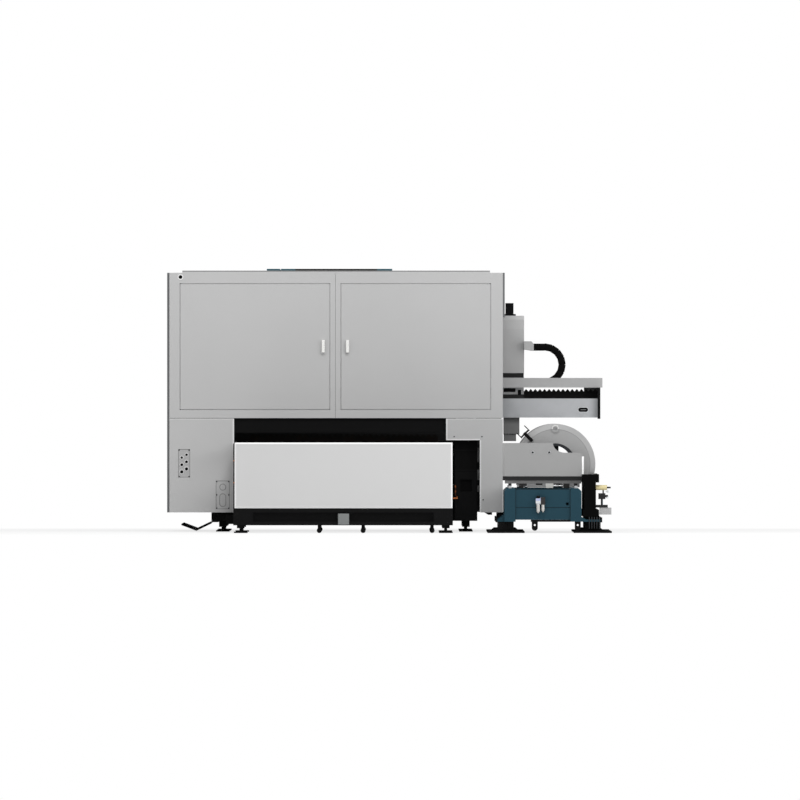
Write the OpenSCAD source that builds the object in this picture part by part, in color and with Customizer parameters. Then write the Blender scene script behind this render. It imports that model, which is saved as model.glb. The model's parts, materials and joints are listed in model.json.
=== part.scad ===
// Sheet and tube laser cutting machine: cabin with gantry, exchange station, side tube unit.
// Millimetres, +Z up, +X towards the tube unit, +Y from the exchange station to the far end.

/* [Pallets] */
// Width of a shuttle pallet
pallet_w = 1680; // [1660:1:1690]
// Length of a shuttle pallet
pallet_l = 3100; // [3000:10:3150]
// Width of a pallet's side runner
runner_w = 50; // [40:1:60]
// Height of a pallet's side runner
runner_h = 70; // [60:1:80]
// Height of a pallet's cross bars
cross_bar_h = 25; // [20:1:30]
// Number of slats
slat_n = 15; // [8:1:20]
// Thickness of a slat
slat_t = 4; // [3:0.5:6]
// Height of a slat over the pallet's underside
slat_h = 125; // [110:1:128]
// Pitch of the slat teeth
tooth_p = 48; // [40:1:80]
// Height of the slat teeth
tooth_h = 22; // [15:1:30]

/* [Bed] */
// Space between a pallet and a bed beam
pallet_side = 83.5; // [78:0.5:92]
// Width of a bed beam
bed_beam_w = 190; // [170:1:200]
// Underside of the bed's beams
bed_z0 = 90; // [80:1:100]
// Top of the bed's beams
bed_top = 766; // [750:1:772]
// Drop of the upper ledges below the bed's top
ledge_drop = 76; // [70:1:90]
// Height between the upper and lower ledges
table_pitch = 300; // [280:1:320]
// Thickness of a ledge
ledge_t = 30; // [20:1:36]
// Reach of a ledge under the pallets
ledge_grip = 35; // [25:1:45]
// Width and height of a guide rail
rail_s = 30; // [25:1:35]
// Width of the bed's cross members
cross_w = 120; // [80:1:140]
// Height of the bed's cross members
cross_h = 110; // [80:1:120]
// Reach of the spill gutter past the bed
gutter_out = 252; // [240:1:270]
// Radius of a levelling pad
pad_r = 57; // [45:1:65]
// Thickness of a levelling pad
pad_t = 12; // [10:1:16]
// Gap at the root of a weld
weld = 0.2; // [0.1:0.05:0.3]
// Gap between sliding faces
slide_gap = 0.5; // [0.4:0.05:0.6]

/* [Cabin] */
// Length of the cabin
cabin_l = 4300; // [4250:10:4700]
// Height of the end wall's top edge
cabin_h = 2168; // [2130:1:2300]
// Space between the operator side and the bed
aisle_l = 351.5; // [340:0.5:380]
// Space between the bed and the tube side
aisle_r = 213.5; // [205:0.5:240]
// Height of the walls' lower edge
skirt_z = 161; // [145:1:175]
// Height of the seam between upper and lower walls
wall_seam = 949; // [935:1:960]
// Width of the seam between wall panels
seam_gap = 4; // [2:1:6]
// Thickness of the end walls
wall_t = 25; // [25:1:30]
// Thickness of the operator side's skin
side_t = 19; // [15:1:22]
// Thickness of the lower skin on the tube side
skin_t = 12; // [8:1:16]
// Size of the frame tubes
frame_t = 60; // [50:1:66]
// Height of the low wall on the tube side over the bed
sill_rise = 24; // [15:1:30]
// Height of the fascia over the gantry
fascia_h = 208; // [180:1:230]
// Height of the fascia's return at the near corner
return_h = 374; // [340:1:420]
// Length of the fascia's return
return_l = 240; // [200:1:300]
// Projection of the fascia
fascia_out = 16; // [8:1:20]
// Margin round the roof's raised field
roof_edge = 108; // [80:1:130]
// Rise of the roof panel
roof_rise = 18; // [12:1:24]
// Rise of the roof hood
hood_rise = 15; // [10:1:20]
// Width of the roof hood
hood_w = 931; // [850:1:1000]
// Width of the strip beside the roof hood
hood_strip = 109; // [80:1:130]
// Thickness of the light guard over the table opening
guard_t = 8; // [5:1:12]
// Clear height between the slats and the light guard
guard_gap = 13; // [8:1:20]

/* [End doors] */
// Wall between the left door and the operator side
door_edge_l = 93; // [85:1:110]
// Wall between the right door and the tube side
door_edge_r = 105; // [95:1:120]
// Width of the strip between the doors
door_mid = 100; // [90:1:110]
// Wall between the seam and the doors
door_foot = 77; // [70:1:90]
// Wall between the doors and the top edge
door_head = 95; // [85:1:110]
// Thickness of a door leaf
door_t = 25; // [22:1:25]
// Gap round a door leaf
door_gap = 6; // [6:0.5:8]
// Radius of a pivot pin
pin_r = 5; // [4:0.5:6]
// Running clearance of a pivot pin
pin_play = 0.05; // [0.03:0.01:0.08]
// Grip of a pivot pin in the wall and in the leaf
pin_grip = 20; // [15:1:30]
// Width of a pull handle
pull_w = 27; // [20:1:32]
// Height of a pull handle
pull_h = 107; // [90:1:130]
// Projection of a pull handle
pull_out = 30; // [26:1:36]
// Thickness of a pull handle's grip
pull_t = 12; // [8:1:14]
// Distance of a pull handle from its leaf's edge
pull_in = 51.5; // [45:0.5:60]
// Radius of the cable hole in the wall's corner
corner_hole_r = 14; // [10:1:18]

/* [Cable plates] */
// Width of the gland plate
gland_w = 99; // [90:1:110]
// Height of the gland plate
gland_h = 237; // [225:1:250]
// Distance of the gland plate from the operator side
gland_x = 74; // [65:1:90]
// Height of the gland plate over the skirt
gland_z = 293; // [280:1:310]
// Radius of a gland hole
gland_r = 12; // [8:1:14]
// Pitch of the gland holes up the plate
gland_p = 59.5; // [50:0.5:64]
// Pitch of the gland holes across the plate
gland_c = 40; // [34:1:46]
// Width of the knock-out plate
knock_w = 116; // [105:1:125]
// Height of the knock-out plate
knock_h = 238; // [225:1:250]
// Distance of the knock-out plate from the operator side
knock_x = 389; // [375:1:400]
// Height of the knock-out plate over the skirt
knock_z = 28; // [20:1:40]
// Radius of a knock-out
knock_r = 27; // [20:1:32]
// Width and depth of a knock-out's groove
groove = 3; // [2:0.5:4]
// Thickness of the cable plates
entry_t = 5; // [4:0.5:8]

/* [Operator side] */
// Distance of the hatch from the near end
hatch_y = 1000; // [950:10:1050]
// Length of the hatch
hatch_l = 2200; // [2100:10:2250]
// Height of the hatch's lower edge
hatch_z = 900; // [880:1:940]
// Wall between the hatch and the top edge
hatch_head = 218; // [200:1:240]
// Lap of the operator door over the hatch
hatch_lap = 30; // [20:1:36]
// Distance of the door track's end from the far wall
track_end = 85; // [70:1:100]
// Thickness of the operator door
hatch_t = 25; // [20:1:28]
// Frame beside the operator door's window
window_side = 350; // [300:1:400]
// Frame over and under the operator door's window
window_edge = 245; // [200:1:280]
// Distance of the operator panel from the near end
pan_y = 250; // [220:1:280]
// Length of the operator panel
pan_l = 500; // [450:1:520]
// Height of the operator panel's lower edge
pan_z = 1230; // [1150:1:1260]
// Height of the operator panel
pan_h = 470; // [430:1:500]
// Height of the operator panel's control field
control_h = 150; // [130:1:170]
// Radius of the stop button
stop_r = 20; // [16:1:24]

/* [Exchange station] */
// Width of the station's side tubes
station_t = 56; // [45:1:60]
// Space between a pallet and a side tube
station_side = 14; // [10:1:18]
// Space between the station's end panel and the lower pallet
station_front = 100; // [96:1:120]
// Space between the lower pallet and the station's far end
station_back = 80; // [70:1:90]
// Gap between the station and the cabin
station_gap = 20; // [15:1:30]
// Underside of the station's frame
station_z0 = 64; // [58:1:70]
// Top of the station's base
station_base = 205; // [195:1:215]
// Rise of the end panel over the upper ledges
panel_rise = 60; // [52:1:70]
// Thickness of the end panel
panel_t = 30; // [24:1:34]
// Sheet thickness of the end panel
panel_sheet = 12; // [6:1:14]
// Radius of a ball glide
glide_r = 21; // [16:1:24]
// Width of the drive's gearbox
gearbox_w = 92; // [80:1:100]

/* [Gantry] */
// Rest position of the gantry from the near end
gantry_rest = 950; // [900:1:1100]
// Height of the gantry beam over the bed
saddle_h = 189; // [180:1:200]
// Height of the gantry beam
beam_h = 160; // [150:1:165]
// Depth of the gantry beam
beam_d = 240; // [220:1:250]
// Overhang of the beam past the cabin wall
beam_out = 799; // [760:1:800]
// Length of a gantry saddle
saddle_l = 420; // [360:1:460]
// Size of the beam's carriage rails
car_rail = 20; // [16:1:24]
// Thickness of the beam's end caps
cap_t = 15; // [10:1:18]
// Rise of the chain tray over the beam
tray_rise = 92; // [88:1:100]
// Height of the chain tray's near side
tray_h = 81; // [70:1:90]
// Width of the chain tray
tray_w = 100; // [95:1:110]
// Sheet thickness of the chain tray
tray_t = 5; // [3:0.5:6]
// Distance of the chain tray's end inside the cabin wall
tray_in = 1658; // [1600:1:1700]
// Bend radius of the drag chain
chain_r = 145; // [140:1:150]
// Height of a drag chain link
link_h = 60; // [50:1:62]
// Width of a drag chain link
link_w = 80; // [60:1:86]
// Length of a drag chain link
link_l = 56; // [48:1:64]
// Pitch of the bellows' folds
fold_p = 40; // [30:1:60]
// Depth of the bellows' folds
fold_d = 16; // [10:1:20]
// Width of the apron
apron_w = 135; // [120:1:140]
// Drop of the apron under the beam
apron_h = 140; // [130:1:150]

/* [Z axis] */
// Rest position of the Z axis from the cabin's side wall
z_off = 72; // [68:1:90]
// Width of the Z housing
z_w = 220; // [200:1:230]
// Height of the Z housing
z_h = 483; // [450:1:500]
// Depth of the Z housing
z_d = 165; // [150:1:180]
// Height of the Z housing over the beam
z_rise = 213; // [205:1:225]
// Chamfer of the Z housing
z_bevel = 34; // [20:1:45]
// Thickness of the carriage plate
car_t = 24.5; // [20:0.5:30]
// Width of the Z motor
motor_w = 68; // [60:1:80]
// Height of the Z motor
motor_h = 92; // [80:1:110]
// Drop of the nozzle under the beam
nozzle_drop = 109; // [95:1:112]
// Radius of the cutting head
head_r = 38; // [32:1:42]

/* [Tube bed] */
// Width of the tube bed
tube_w = 638; // [630:1:645]
// Length of the tube bed
tube_l = 4350; // [4300:10:4600]
// Top of the tube bed
tube_top = 371; // [366:1:374]
// Gap between the cabin and the tube bed
tube_gap = 5; // [4:1:10]
// Width of a column of the tube bed
col_w = 92; // [80:1:100]
// Outer chamfer of a column
col_bevel = 24; // [15:1:28]
// Underside of the columns
col_z = 94; // [90:1:100]
// Thickness of the end panels
tube_panel_t = 18; // [12:1:24]
// Reach of the left foot flares
flare_l = 58; // [50:1:65]
// Reach of the right foot flanges
flare_r = 158; // [150:1:164]
// Gap between the tube bed and the guide beam
guide_gap = 8; // [6:1:12]
// Width of the guide beam's head
guide_w = 138; // [125:1:145]
// Height of the guide beam's head
guide_head = 67; // [60:1:75]
// Underside of the guide beam
guide_z = 136; // [130:1:142]
// Drop of the guide beam's top below the chuck's axis
guide_drop = 85; // [80:1:90]
// Radius of an anchor hole
anchor_r = 9; // [7:0.5:11]
// Width of a tie bracket
tie_w = 40; // [30:1:45]
// Distance of the tie brackets from the cabin's near wall
tie_in = 20; // [15:1:25]

/* [Chucks] */
// Distance of the chuck's axis from the tube bed's left edge
axis_off = 422; // [418:1:426]
// Height of the chuck's axis over the tube bed
axis_h = 200; // [196:1:205]
// Outer radius of a chuck housing
chuck_r = 333; // [320:1:338]
// Chamfer of a chuck housing
chuck_bevel = 41; // [30:1:45]
// Bore radius of a chuck housing
bore_r = 172; // [168:1:174]
// Length of a chuck housing
chuck_l = 160; // [150:1:180]
// Wall of a chuck's rotor
rotor_t = 22; // [18:1:26]
// Width of a jaw
jaw_w = 50; // [40:1:54]
// Height of a jaw
jaw_h = 80; // [70:1:84]
// Radius of the jaws' opening
jaw_open = 85; // [80:1:90]
// Distance of the feed chuck from the tube bed's near end
feed_in = 400; // [390:1:450]
// Distance of the front chuck from the tube bed's far end
front_in = 670; // [640:1:700]
// Height of the carriage deck over the tube bed
deck_rise = 65; // [60:1:70]
// Thickness of the carriage deck
deck_t = 34; // [28:1:38]
// Length of the carriage deck
deck_l = 520; // [480:1:560]
// Height of the cover over the chuck's axis
cover_rise = 175; // [165:1:180]
// Sheet thickness of the cover
cover_t = 6; // [4:0.5:8]
// Fold radius of the cover
cover_fold = 18; // [12:1:20]

/* [Hidden] */
$fn = 48;
over = 1;
bed_in = pallet_w + 2 * pallet_side;
cabin_w = aisle_l + bed_in + 2 * bed_beam_w + aisle_r;
cabin_x0 = -1834;
cabin_x1 = cabin_x0 + cabin_w;
cabin_y0 = -500;
cabin_y1 = cabin_y0 + cabin_l;
cx = [cabin_x0, cabin_x1];
wy = [cabin_y0, cabin_y0 + wall_t];
ny = cabin_y0 + wall_t;
fy = cabin_y1 - wall_t;
rx = cabin_x1 - skin_t;
frame_top = cabin_h - 18;
frame_bot = skirt_z + 4;
sill_z = bed_top + sill_rise;
fascia_z = cabin_h - fascia_h;
door_w = (cabin_w - door_edge_l - door_edge_r - door_mid) / 2;
door_l = [cabin_x0 + door_edge_l, cabin_x0 + door_edge_l + door_w];
door_r = [door_l[1] + door_mid, door_l[1] + door_mid + door_w];
door_zz = [wall_seam + door_foot, cabin_h - door_head];
seam_x = door_l[1] + door_mid / 2;
pivot_in = door_t / 2;
gland = [[cabin_x0 + gland_x, cabin_x0 + gland_x + gland_w], [skirt_z + gland_z, skirt_z + gland_z + gland_h]];
knock = [[cabin_x0 + knock_x, cabin_x0 + knock_x + knock_w], [skirt_z + knock_z, skirt_z + knock_z + knock_h]];
pan = [[cabin_y0 + pan_y, cabin_y0 + pan_y + pan_l], [pan_z, pan_z + pan_h]];
hatch = [[cabin_y0 + hatch_y, cabin_y0 + hatch_y + hatch_l], [hatch_z, cabin_h - hatch_head]];
bed_l = [cabin_x0 + aisle_l, cabin_x0 + aisle_l + bed_beam_w];
bed_r = [bed_l[1] + bed_in, bed_l[1] + bed_in + bed_beam_w];
bed_cx = (bed_l[1] + bed_r[0]) / 2;
bed_y = [cabin_y0 + 125, cabin_y1 - 100];
cross_y = bed_y[0] + 200;
upper_ledge = bed_top - ledge_drop;
lower_ledge = upper_ledge - table_pitch;
open_x = [bed_l[1], bed_r[0] - 71.5];
st_cx = bed_cx - 6;
station_w = pallet_w + 2 * (station_t + station_side);
station_l = station_front + pallet_l + station_back;
st_x = [st_cx - station_w / 2, st_cx + station_w / 2];
st_y = [cabin_y0 - station_gap - station_l, cabin_y0 - station_gap];
panel_top = upper_ledge + panel_rise;
pal_x = [st_cx - pallet_w / 2, st_cx + pallet_w / 2];
upper_y = [cabin_y0 + 600, cabin_y0 + 600 + pallet_l];
lower_y = [st_y[0] + station_front, st_y[0] + station_front + pallet_l];
yg = cabin_y0 + gantry_rest;
gy = [yg - beam_d / 2, yg + beam_d / 2];
gz = [bed_top + saddle_h, bed_top + saddle_h + beam_h];
beam_x = [bed_l[0] + 12, cabin_x1 + beam_out];
car_y = gy[1] + car_rail;
z_cx = cabin_x1 + z_off;
z_x = [z_cx - z_w / 2, z_cx + z_w / 2];
z_z = [gz[1] + z_rise, gz[1] + z_rise + z_h];
plate_x = [z_x[0] + 10, z_x[1] - 3];
nozzle_z = gz[0] - nozzle_drop;
tray_z = gz[1] + tray_rise;
tray_x = [cabin_x1 - tray_in, beam_x[1] + 40];
tray_y = [gy[1] - tray_w, gy[1]];
chain_x = z_x[1] + 170;
chain_z = tray_z + link_h / 2 + 18;
chain_y = [tray_y[0] + (tray_w - link_w) / 2, tray_y[1] - (tray_w - link_w) / 2];
chain_top = chain_z + 2 * chain_r;
chain_end = z_x[1] + 82;
tx = cabin_x1 + tube_gap;
tube_y = [st_y[0] + 50, st_y[0] + 50 + tube_l];
tcl = [tx, tx + col_w];
tcr = [tx + tube_w - col_w, tx + tube_w];
ax = tx + axis_off;
axis_z = tube_top + axis_h;
feed_y = tube_y[0] + feed_in;
front_y = tube_y[1] - front_in;
sb_x = [tx + tube_w + guide_gap, tx + tube_w + guide_gap + guide_w];
sb_top = axis_z - guide_drop;
deck_z = [tube_top + deck_rise, tube_top + deck_rise + deck_t];
foot_y = [tube_y[0] + 130, (tube_y[0] + tube_y[1]) / 2, tube_y[1] - 130];
foot_w = 126;
wall_grey = "#b4b6b8";
dark = "#17191b";
teal = "#28434f";
steel = "#9ca0a4";

function mid(v) = (v[0] + v[1]) / 2;

function about(c, w) = [c - w / 2, c + w / 2];

// Points of an arc about c, from angle a to angle b in n steps
function arc(c, r, a, b, n) =
  [for (i = [0:n]) let (t = a + (b - a) * i / n) [c[0] + r * cos(t), c[1] + r * sin(t)]];

module block(x, y, z)
  translate([x[0], y[0], z[0]]) cube([x[1] - x[0], y[1] - y[0], z[1] - z[0]]);

module rod_x(x, y, z, r)
  translate([x[0], y, z]) rotate([0, 90, 0]) cylinder(h = x[1] - x[0], r = r);

module rod_y(x, y, z, r)
  translate([x, y[0], z]) rotate([-90, 0, 0]) cylinder(h = y[1] - y[0], r = r);

module rod_z(x, y, z, r)
  translate([x, y, z[0]]) cylinder(h = z[1] - z[0], r = r);

module prism_y(pts, y)
  translate([0, y[1], 0]) rotate([90, 0, 0]) linear_extrude(y[1] - y[0]) polygon(pts);

module prism_x(pts, x)
  translate([x[0], 0, 0]) rotate([90, 0, 90]) linear_extrude(x[1] - x[0]) polygon(pts);

// Plate with chamfered near edges, c wide
module bevel_plate(x, y, z, c)
  intersection() {
    translate([0, 0, z[0]]) linear_extrude(z[1] - z[0])
      polygon([[x[0] + c, y[0]], [x[1] - c, y[0]], [x[1], y[0] + c], [x[1], y[1]],
               [x[0], y[1]], [x[0], y[0] + c]]);
    prism_x([[y[0] + c, z[0]], [y[1], z[0]], [y[1], z[1]], [y[0] + c, z[1]],
             [y[0], z[1] - c], [y[0], z[0] + c]], x);
  }

// Upright block with its four long edges chamfered, c wide
module bevel_post(x, y, z, c)
  translate([0, 0, z[0]]) linear_extrude(z[1] - z[0])
    polygon([[x[0] + c, y[0]], [x[1] - c, y[0]], [x[1], y[0] + c], [x[1], y[1] - c],
             [x[1] - c, y[1]], [x[0] + c, y[1]], [x[0], y[1] - c], [x[0], y[0] + c]]);

// Main bed: two box beams, pallet ledges and cross members
module bed_frame() color(dark) {
  port = 100;
  last = bed_y[1] - (cross_y - bed_y[0]);
  for (s = [bed_l, bed_r]) difference() {
    block(s, bed_y, [bed_z0, bed_top]);
    block(about(mid(s), port), [bed_y[0] - over, bed_y[0] + 20], about(lower_ledge - 4, port));
  }
  for (z = [upper_ledge, lower_ledge]) {
    block([bed_l[1] + weld, pal_x[0] + ledge_grip], bed_y, [z - ledge_t, z]);
    block([pal_x[1] - ledge_grip, bed_r[0] - weld], bed_y, [z - ledge_t, z]);
  }
  for (y = [for (i = [0:3]) cross_y + i * (last - cross_y) / 3])
    block([bed_l[1] + weld, bed_r[0] - weld], about(y, cross_w), [bed_z0, bed_z0 + cross_h]);
}

// Linear guide rails of the bed and of the tube bed
module guide_rails() color(steel) {
  tube_rail = [25, 20];
  for (s = [bed_l, bed_r])
    block(about(mid(s), rail_s), [bed_y[0] + 30, bed_y[1] - 30], [bed_top, bed_top + rail_s]);
  for (s = [tcl, tcr])
    block(about(mid(s), tube_rail[0]), [tube_y[0] + 50, front_y - chuck_l / 2 - 30],
          [tube_top, tube_top + tube_rail[1]]);
}

// Levelling foot with its pad, a screw of radius r and a block up to top
module levelling_foot(x, y, r, top)
  let (nut_z = 40, nut_w = 63) union() {
    rod_z(x, y, [0, pad_t], pad_r);
    rod_z(x, y, [pad_t - over, nut_z + over], r);
    block(about(x, nut_w), about(y, nut_w), [nut_z, top]);
  }

// Levelling feet of the bed and the station
module levelling_feet() color(dark) {
  in = 75;
  for (s = [bed_l, bed_r], y = [bed_y[0] + in, mid(bed_y), bed_y[1] - in])
    levelling_foot(mid(s), y, 11, bed_z0);
  for (x = [st_x[0] + 62, st_x[1] - 58], y = [st_y[0] + in, st_y[1] - in])
    levelling_foot(x, y, 11, station_z0);
}

// Folded spill gutter under the left bed beam
module side_gutter() color(dark) {
  t = 11;
  lip = [-gutter_out, -36];
  trough = [-132, -81];
  seat = [14, -t];
  end = 15;
  translate([bed_l[0], 0, bed_z0])
    prism_y([lip, trough, seat, [58, seat[1]], [58, 0], [seat[0], 0], [trough[0], trough[1] + t],
             [lip[0], lip[1] + t]], [bed_y[0] + end, bed_y[1] - end]);
}

// Cabin frame of square tubes, with the light guard that hangs over the table opening
module cabin_frame() color(dark) {
  lx = [cabin_x0, cabin_x0 + frame_t];
  r = [rx - frame_t, rx];
  n = [ny, ny + frame_t];
  f = [fy - frame_t, fy];
  top = [frame_top - frame_t, frame_top];
  sill = [frame_bot, frame_bot + frame_t];
  lintel = [wall_seam + 8, wall_seam + 58];
  inx = [lx[1] + weld, r[0] - weld];
  iny = [n[1] + weld, f[0] - weld];
  for (x = [lx, r], y = [n, f]) block(x, y, [frame_bot, frame_top]);
  for (y = [n, f]) block(inx, y, top);
  for (x = [lx, r]) {
    block(x, iny, top);
    block(x, iny, sill);
  }
  block(inx, n, lintel);
  block(about(seam_x, 70), n, [lintel[1] + weld, top[0] - weld]);
  for (y = [bed_y[0] + 40, mid(bed_y), bed_y[1] - 40]) {
    block([lx[1] + weld, bed_l[0] - weld], about(y, frame_t), sill);
    block([bed_r[1] + weld, r[0] - weld], about(y, frame_t), sill);
  }
  block([open_x[0] + 2, open_x[1] - 2], [ny + 5, ny + 5 + guard_t],
        [upper_ledge + slat_h + guard_gap, lintel[0] - weld]);
  prism_y([[r[0] - 90, sill[0] - weld], [r[0] - 50, sill[0] - 24], [r[0] - 18, sill[0] - 24],
           [r[0] - 18, sill[0] - weld]], about(bed_y[0] + 40, frame_t));
}

module door_hole(d)
  block([d[0] - door_gap, d[1] + door_gap], [wy[0] - over, wy[1] + over],
        [door_zz[0] - door_gap, door_zz[1] + door_gap]);

// Pivot pins of both doors, or the sockets for them with r and their ends enlarged
module pivot_pins(r, end)
  for (x = [door_l[0] + pivot_in, door_r[1] - pivot_in]) {
    rod_z(x, cabin_y0 + door_t / 2,
          [door_zz[1] - pin_grip - end, door_zz[1] + door_gap + pin_grip + end], r);
    rod_z(x, cabin_y0 + door_t / 2,
          [door_zz[0] - door_gap - pin_grip - end, door_zz[0] + pin_grip + end], r);
  }

// Upper end wall in two panels, each with a door opening
module end_walls() color(wall_grey)
  for (p = [[[cx[0], seam_x - seam_gap / 4], door_l], [[seam_x + seam_gap / 4, cx[1]], door_r]])
    difference() {
      block(p[0], wy, [wall_seam + seam_gap / 2, cabin_h]);
      door_hole(p[1]);
      pivot_pins(pin_r, 0);
      rod_y(cabin_x0 + door_edge_l, [wy[0] - over, wy[1] + over], cabin_h - 36, corner_hole_r);
    }

// Pivot pins of the end doors
module hinge_pins() color(steel) pivot_pins(pin_r, 0);

module leaf(d) color(wall_grey)
  difference() {
    block(d, [cabin_y0, cabin_y0 + door_t], door_zz);
    pivot_pins(pin_r + pin_play, over);
  }

// Left end door
module left_door() leaf(door_l);

// Right end door
module right_door() leaf(door_r);

// Pull handle centred at x, with two feet on the leaf
module pull(x) color("#e6e4da")
  let (z = mid(door_zz), foot = [14, 16]) union() {
    bevel_plate(about(x, pull_w), [cabin_y0 - pull_out, cabin_y0 - pull_out + pull_t], about(z, pull_h), 4);
    for (s = [-1, 1])
      block(about(x, foot[0]), [cabin_y0 - pull_out + pull_t - over, cabin_y0],
            about(z + s * (pull_h / 2 - pull_t), foot[1]));
  }

// Pull handle of the left door
module left_door_handle() pull(door_l[1] - pull_in);

// Pull handle of the right door
module right_door_handle() pull(door_r[0] + pull_in);

// Lower end panels either side of the table opening
module lower_panels() color(wall_grey) {
  top = wall_seam - seam_gap / 2;
  inner = bed_r[1] + 21;
  difference() {
    block([cx[0], open_x[0]], wy, [skirt_z, top]);
    for (p = [gland, knock]) block(p[0], [wy[0] - over, wy[1] + over], p[1]);
  }
  prism_y([[open_x[1], top], [open_x[1], bed_top], [inner, bed_top], [inner, skirt_z],
           [cx[1], skirt_z], [cx[1], top]], wy);
}

// Upright oblong of radius r with its end centres at z[0] and z[1]
module oblong_y(x, y, z, r)
  union() {
    for (c = z) rod_y(x, y, c, r);
    block(about(x, 2 * r), y, z);
  }

// Cable plates in the left lower panel: one with gland holes, one with knock-outs
module entry_plates() color(wall_grey) {
  y = [wy[0] + 4, wy[0] + 4 + entry_t];
  bore = [y[0] - over, y[1] + over];
  cut = [y[0] - over, y[0] + groove];
  round_z = knock[1][1] - 2 * knock_r;
  slot_z = [knock[1][0] + 46, knock[1][0] + 103];
  difference() {
    block(gland[0], y, gland[1]);
    for (s = [-1, 1], i = [-1:1])
      rod_y(mid(gland[0]) + s * gland_c / 2, bore, mid(gland[1]) + i * gland_p + s * gland_r, gland_r);
  }
  difference() {
    block(knock[0], y, knock[1]);
    difference() {
      rod_y(mid(knock[0]), cut, round_z, knock_r);
      rod_y(mid(knock[0]), [cut[0] - over, cut[1] + over], round_z, knock_r - groove);
    }
    difference() {
      oblong_y(mid(knock[0]), cut, slot_z, knock_r);
      oblong_y(mid(knock[0]), [cut[0] - over, cut[1] + over], slot_z, knock_r - groove);
    }
  }
}

// Operator side wall with its door opening and door track
module left_side_wall() color("#6f7275")
  let (through = [cx[0] - side_t - over, cx[0] + over], track_z = hatch[1][1] + hatch_lap + 5) union() {
    difference() {
      block([cx[0] - side_t, cx[0]], [cabin_y0 + 20, cabin_y1], [skirt_z, cabin_h]);
      block(through, hatch[0], hatch[1]);
      block(through, pan[0], pan[1]);
    }
    block([cx[0] - over, cx[0] + hatch_t + 10], [hatch[0][0] - 80, fy - track_end], [track_z, track_z + 35]);
  }

// Operator panel set in a pocket of the side wall, with a screen and a control field
module operator_panel() color("#2b2f33")
  let (edge = 15, field = pan[1][0] + edge + control_h) difference() {
    block([cx[0] - side_t, cx[0] + 20], pan[0], pan[1]);
    block([cx[0] - side_t - over, cx[0] + 8], [pan[0][0] + edge, pan[0][1] - 190], [pan[1][0] + edge, field]);
    block([cx[0] - side_t - over, cx[0] + 2], [pan[0][0] + edge, pan[0][1] - edge], [field + edge, pan[1][1] - edge]);
    block([cx[0] - side_t - over, cx[0] + 2], [pan[0][1] - 160, pan[0][1] - edge],
          [pan[1][0] + edge, field + edge + over]);
    rod_x([cx[0] - over, cx[0] + 20 + over], pan[0][1] - 90, field + 12, 8.4);
  }

// Stop button of the operator panel
module stop_button() color("#b3221c")
  let (y = pan[0][1] - 90, z = pan[1][0] + 15 + control_h + 12) union() {
    rod_x([cx[0] - side_t + over, cx[0] - 6], y, z, stop_r);
    rod_x([cx[0] - 7, cx[0] + 10], y, z, 8);
  }

window = [[hatch[0][0] + window_side, hatch[0][1] - window_side],
          [hatch[1][0] + window_edge, hatch[1][1] - window_edge]];

// Sliding operator door
module operator_door() color("#8b8e91")
  difference() {
    block([cx[0] + 5, cx[0] + 5 + hatch_t], [hatch[0][0] - hatch_lap, hatch[0][1] + hatch_lap],
          [hatch[1][0] - hatch_lap, hatch[1][1] + hatch_lap + 5 - slide_gap]);
    block([cx[0] + 5 - over, cx[0] + 5 + hatch_t + over], window[0], window[1]);
  }

// Window of the operator door
module door_window() color("#35626b")
  block([cx[0] + 12, cx[0] + 20], window[0], window[1]);

// Tube side: low wall and the fascia over the gantry
module right_side_wall() color("#7c7f82") {
  block([rx, cx[1]], [ny, fy], [skirt_z, sill_z]);
  union() {
    block([rx, cx[1] + fascia_out], [ny, fy], [fascia_z, cabin_h]);
    block([rx, cx[1] + fascia_out], [ny, ny + return_l], [cabin_h - return_h, fascia_z + over]);
  }
}

// Far end wall
module far_end_wall() color(wall_grey)
  block(cx, [fy, cabin_y1], [skirt_z, cabin_h]);

// Roof panel with a raised field that laps the end walls
module roof_panel() color("#c2c4c6")
  union() {
    block([cx[0], rx], [ny, fy], [frame_top, cabin_h]);
    prism_x([[ny, cabin_h - over], [fy, cabin_h - over], [fy, cabin_h], [cabin_y1, cabin_h],
             [cabin_y1, cabin_h + roof_rise], [cabin_y0, cabin_h + roof_rise], [cabin_y0, cabin_h], [ny, cabin_h]],
            [cx[0] + roof_edge, cx[1] - roof_edge]);
  }

// Roof hood and its side strip
module roof_hood() color(teal) {
  z = [cabin_h + roof_rise, cabin_h + roof_rise + hood_rise];
  y = [cabin_y0 + frame_t, cabin_y1 - 500];
  x = about(seam_x + 10, hood_w);
  block([x[0] - 10 - hood_strip, x[0] - 10], y, z);
  block(x, y, z);
}

// Air line at the near end of the right bed beam
module air_line() color("#e0762a") {
  r = 6;
  y = bed_y[0] - r;
  x = bed_r[0];
  z = bed_z0 + 189;
  union() {
    rod_x([x - 18, x + 26], y, z, r);
    translate([x + 20, y, z]) sphere(r = r);
    rod_z(x + 20, y, [z, z + 18], r);
  }
  rod_z(x + 7, y, [z + 23, z + 113], r);
}

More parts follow.
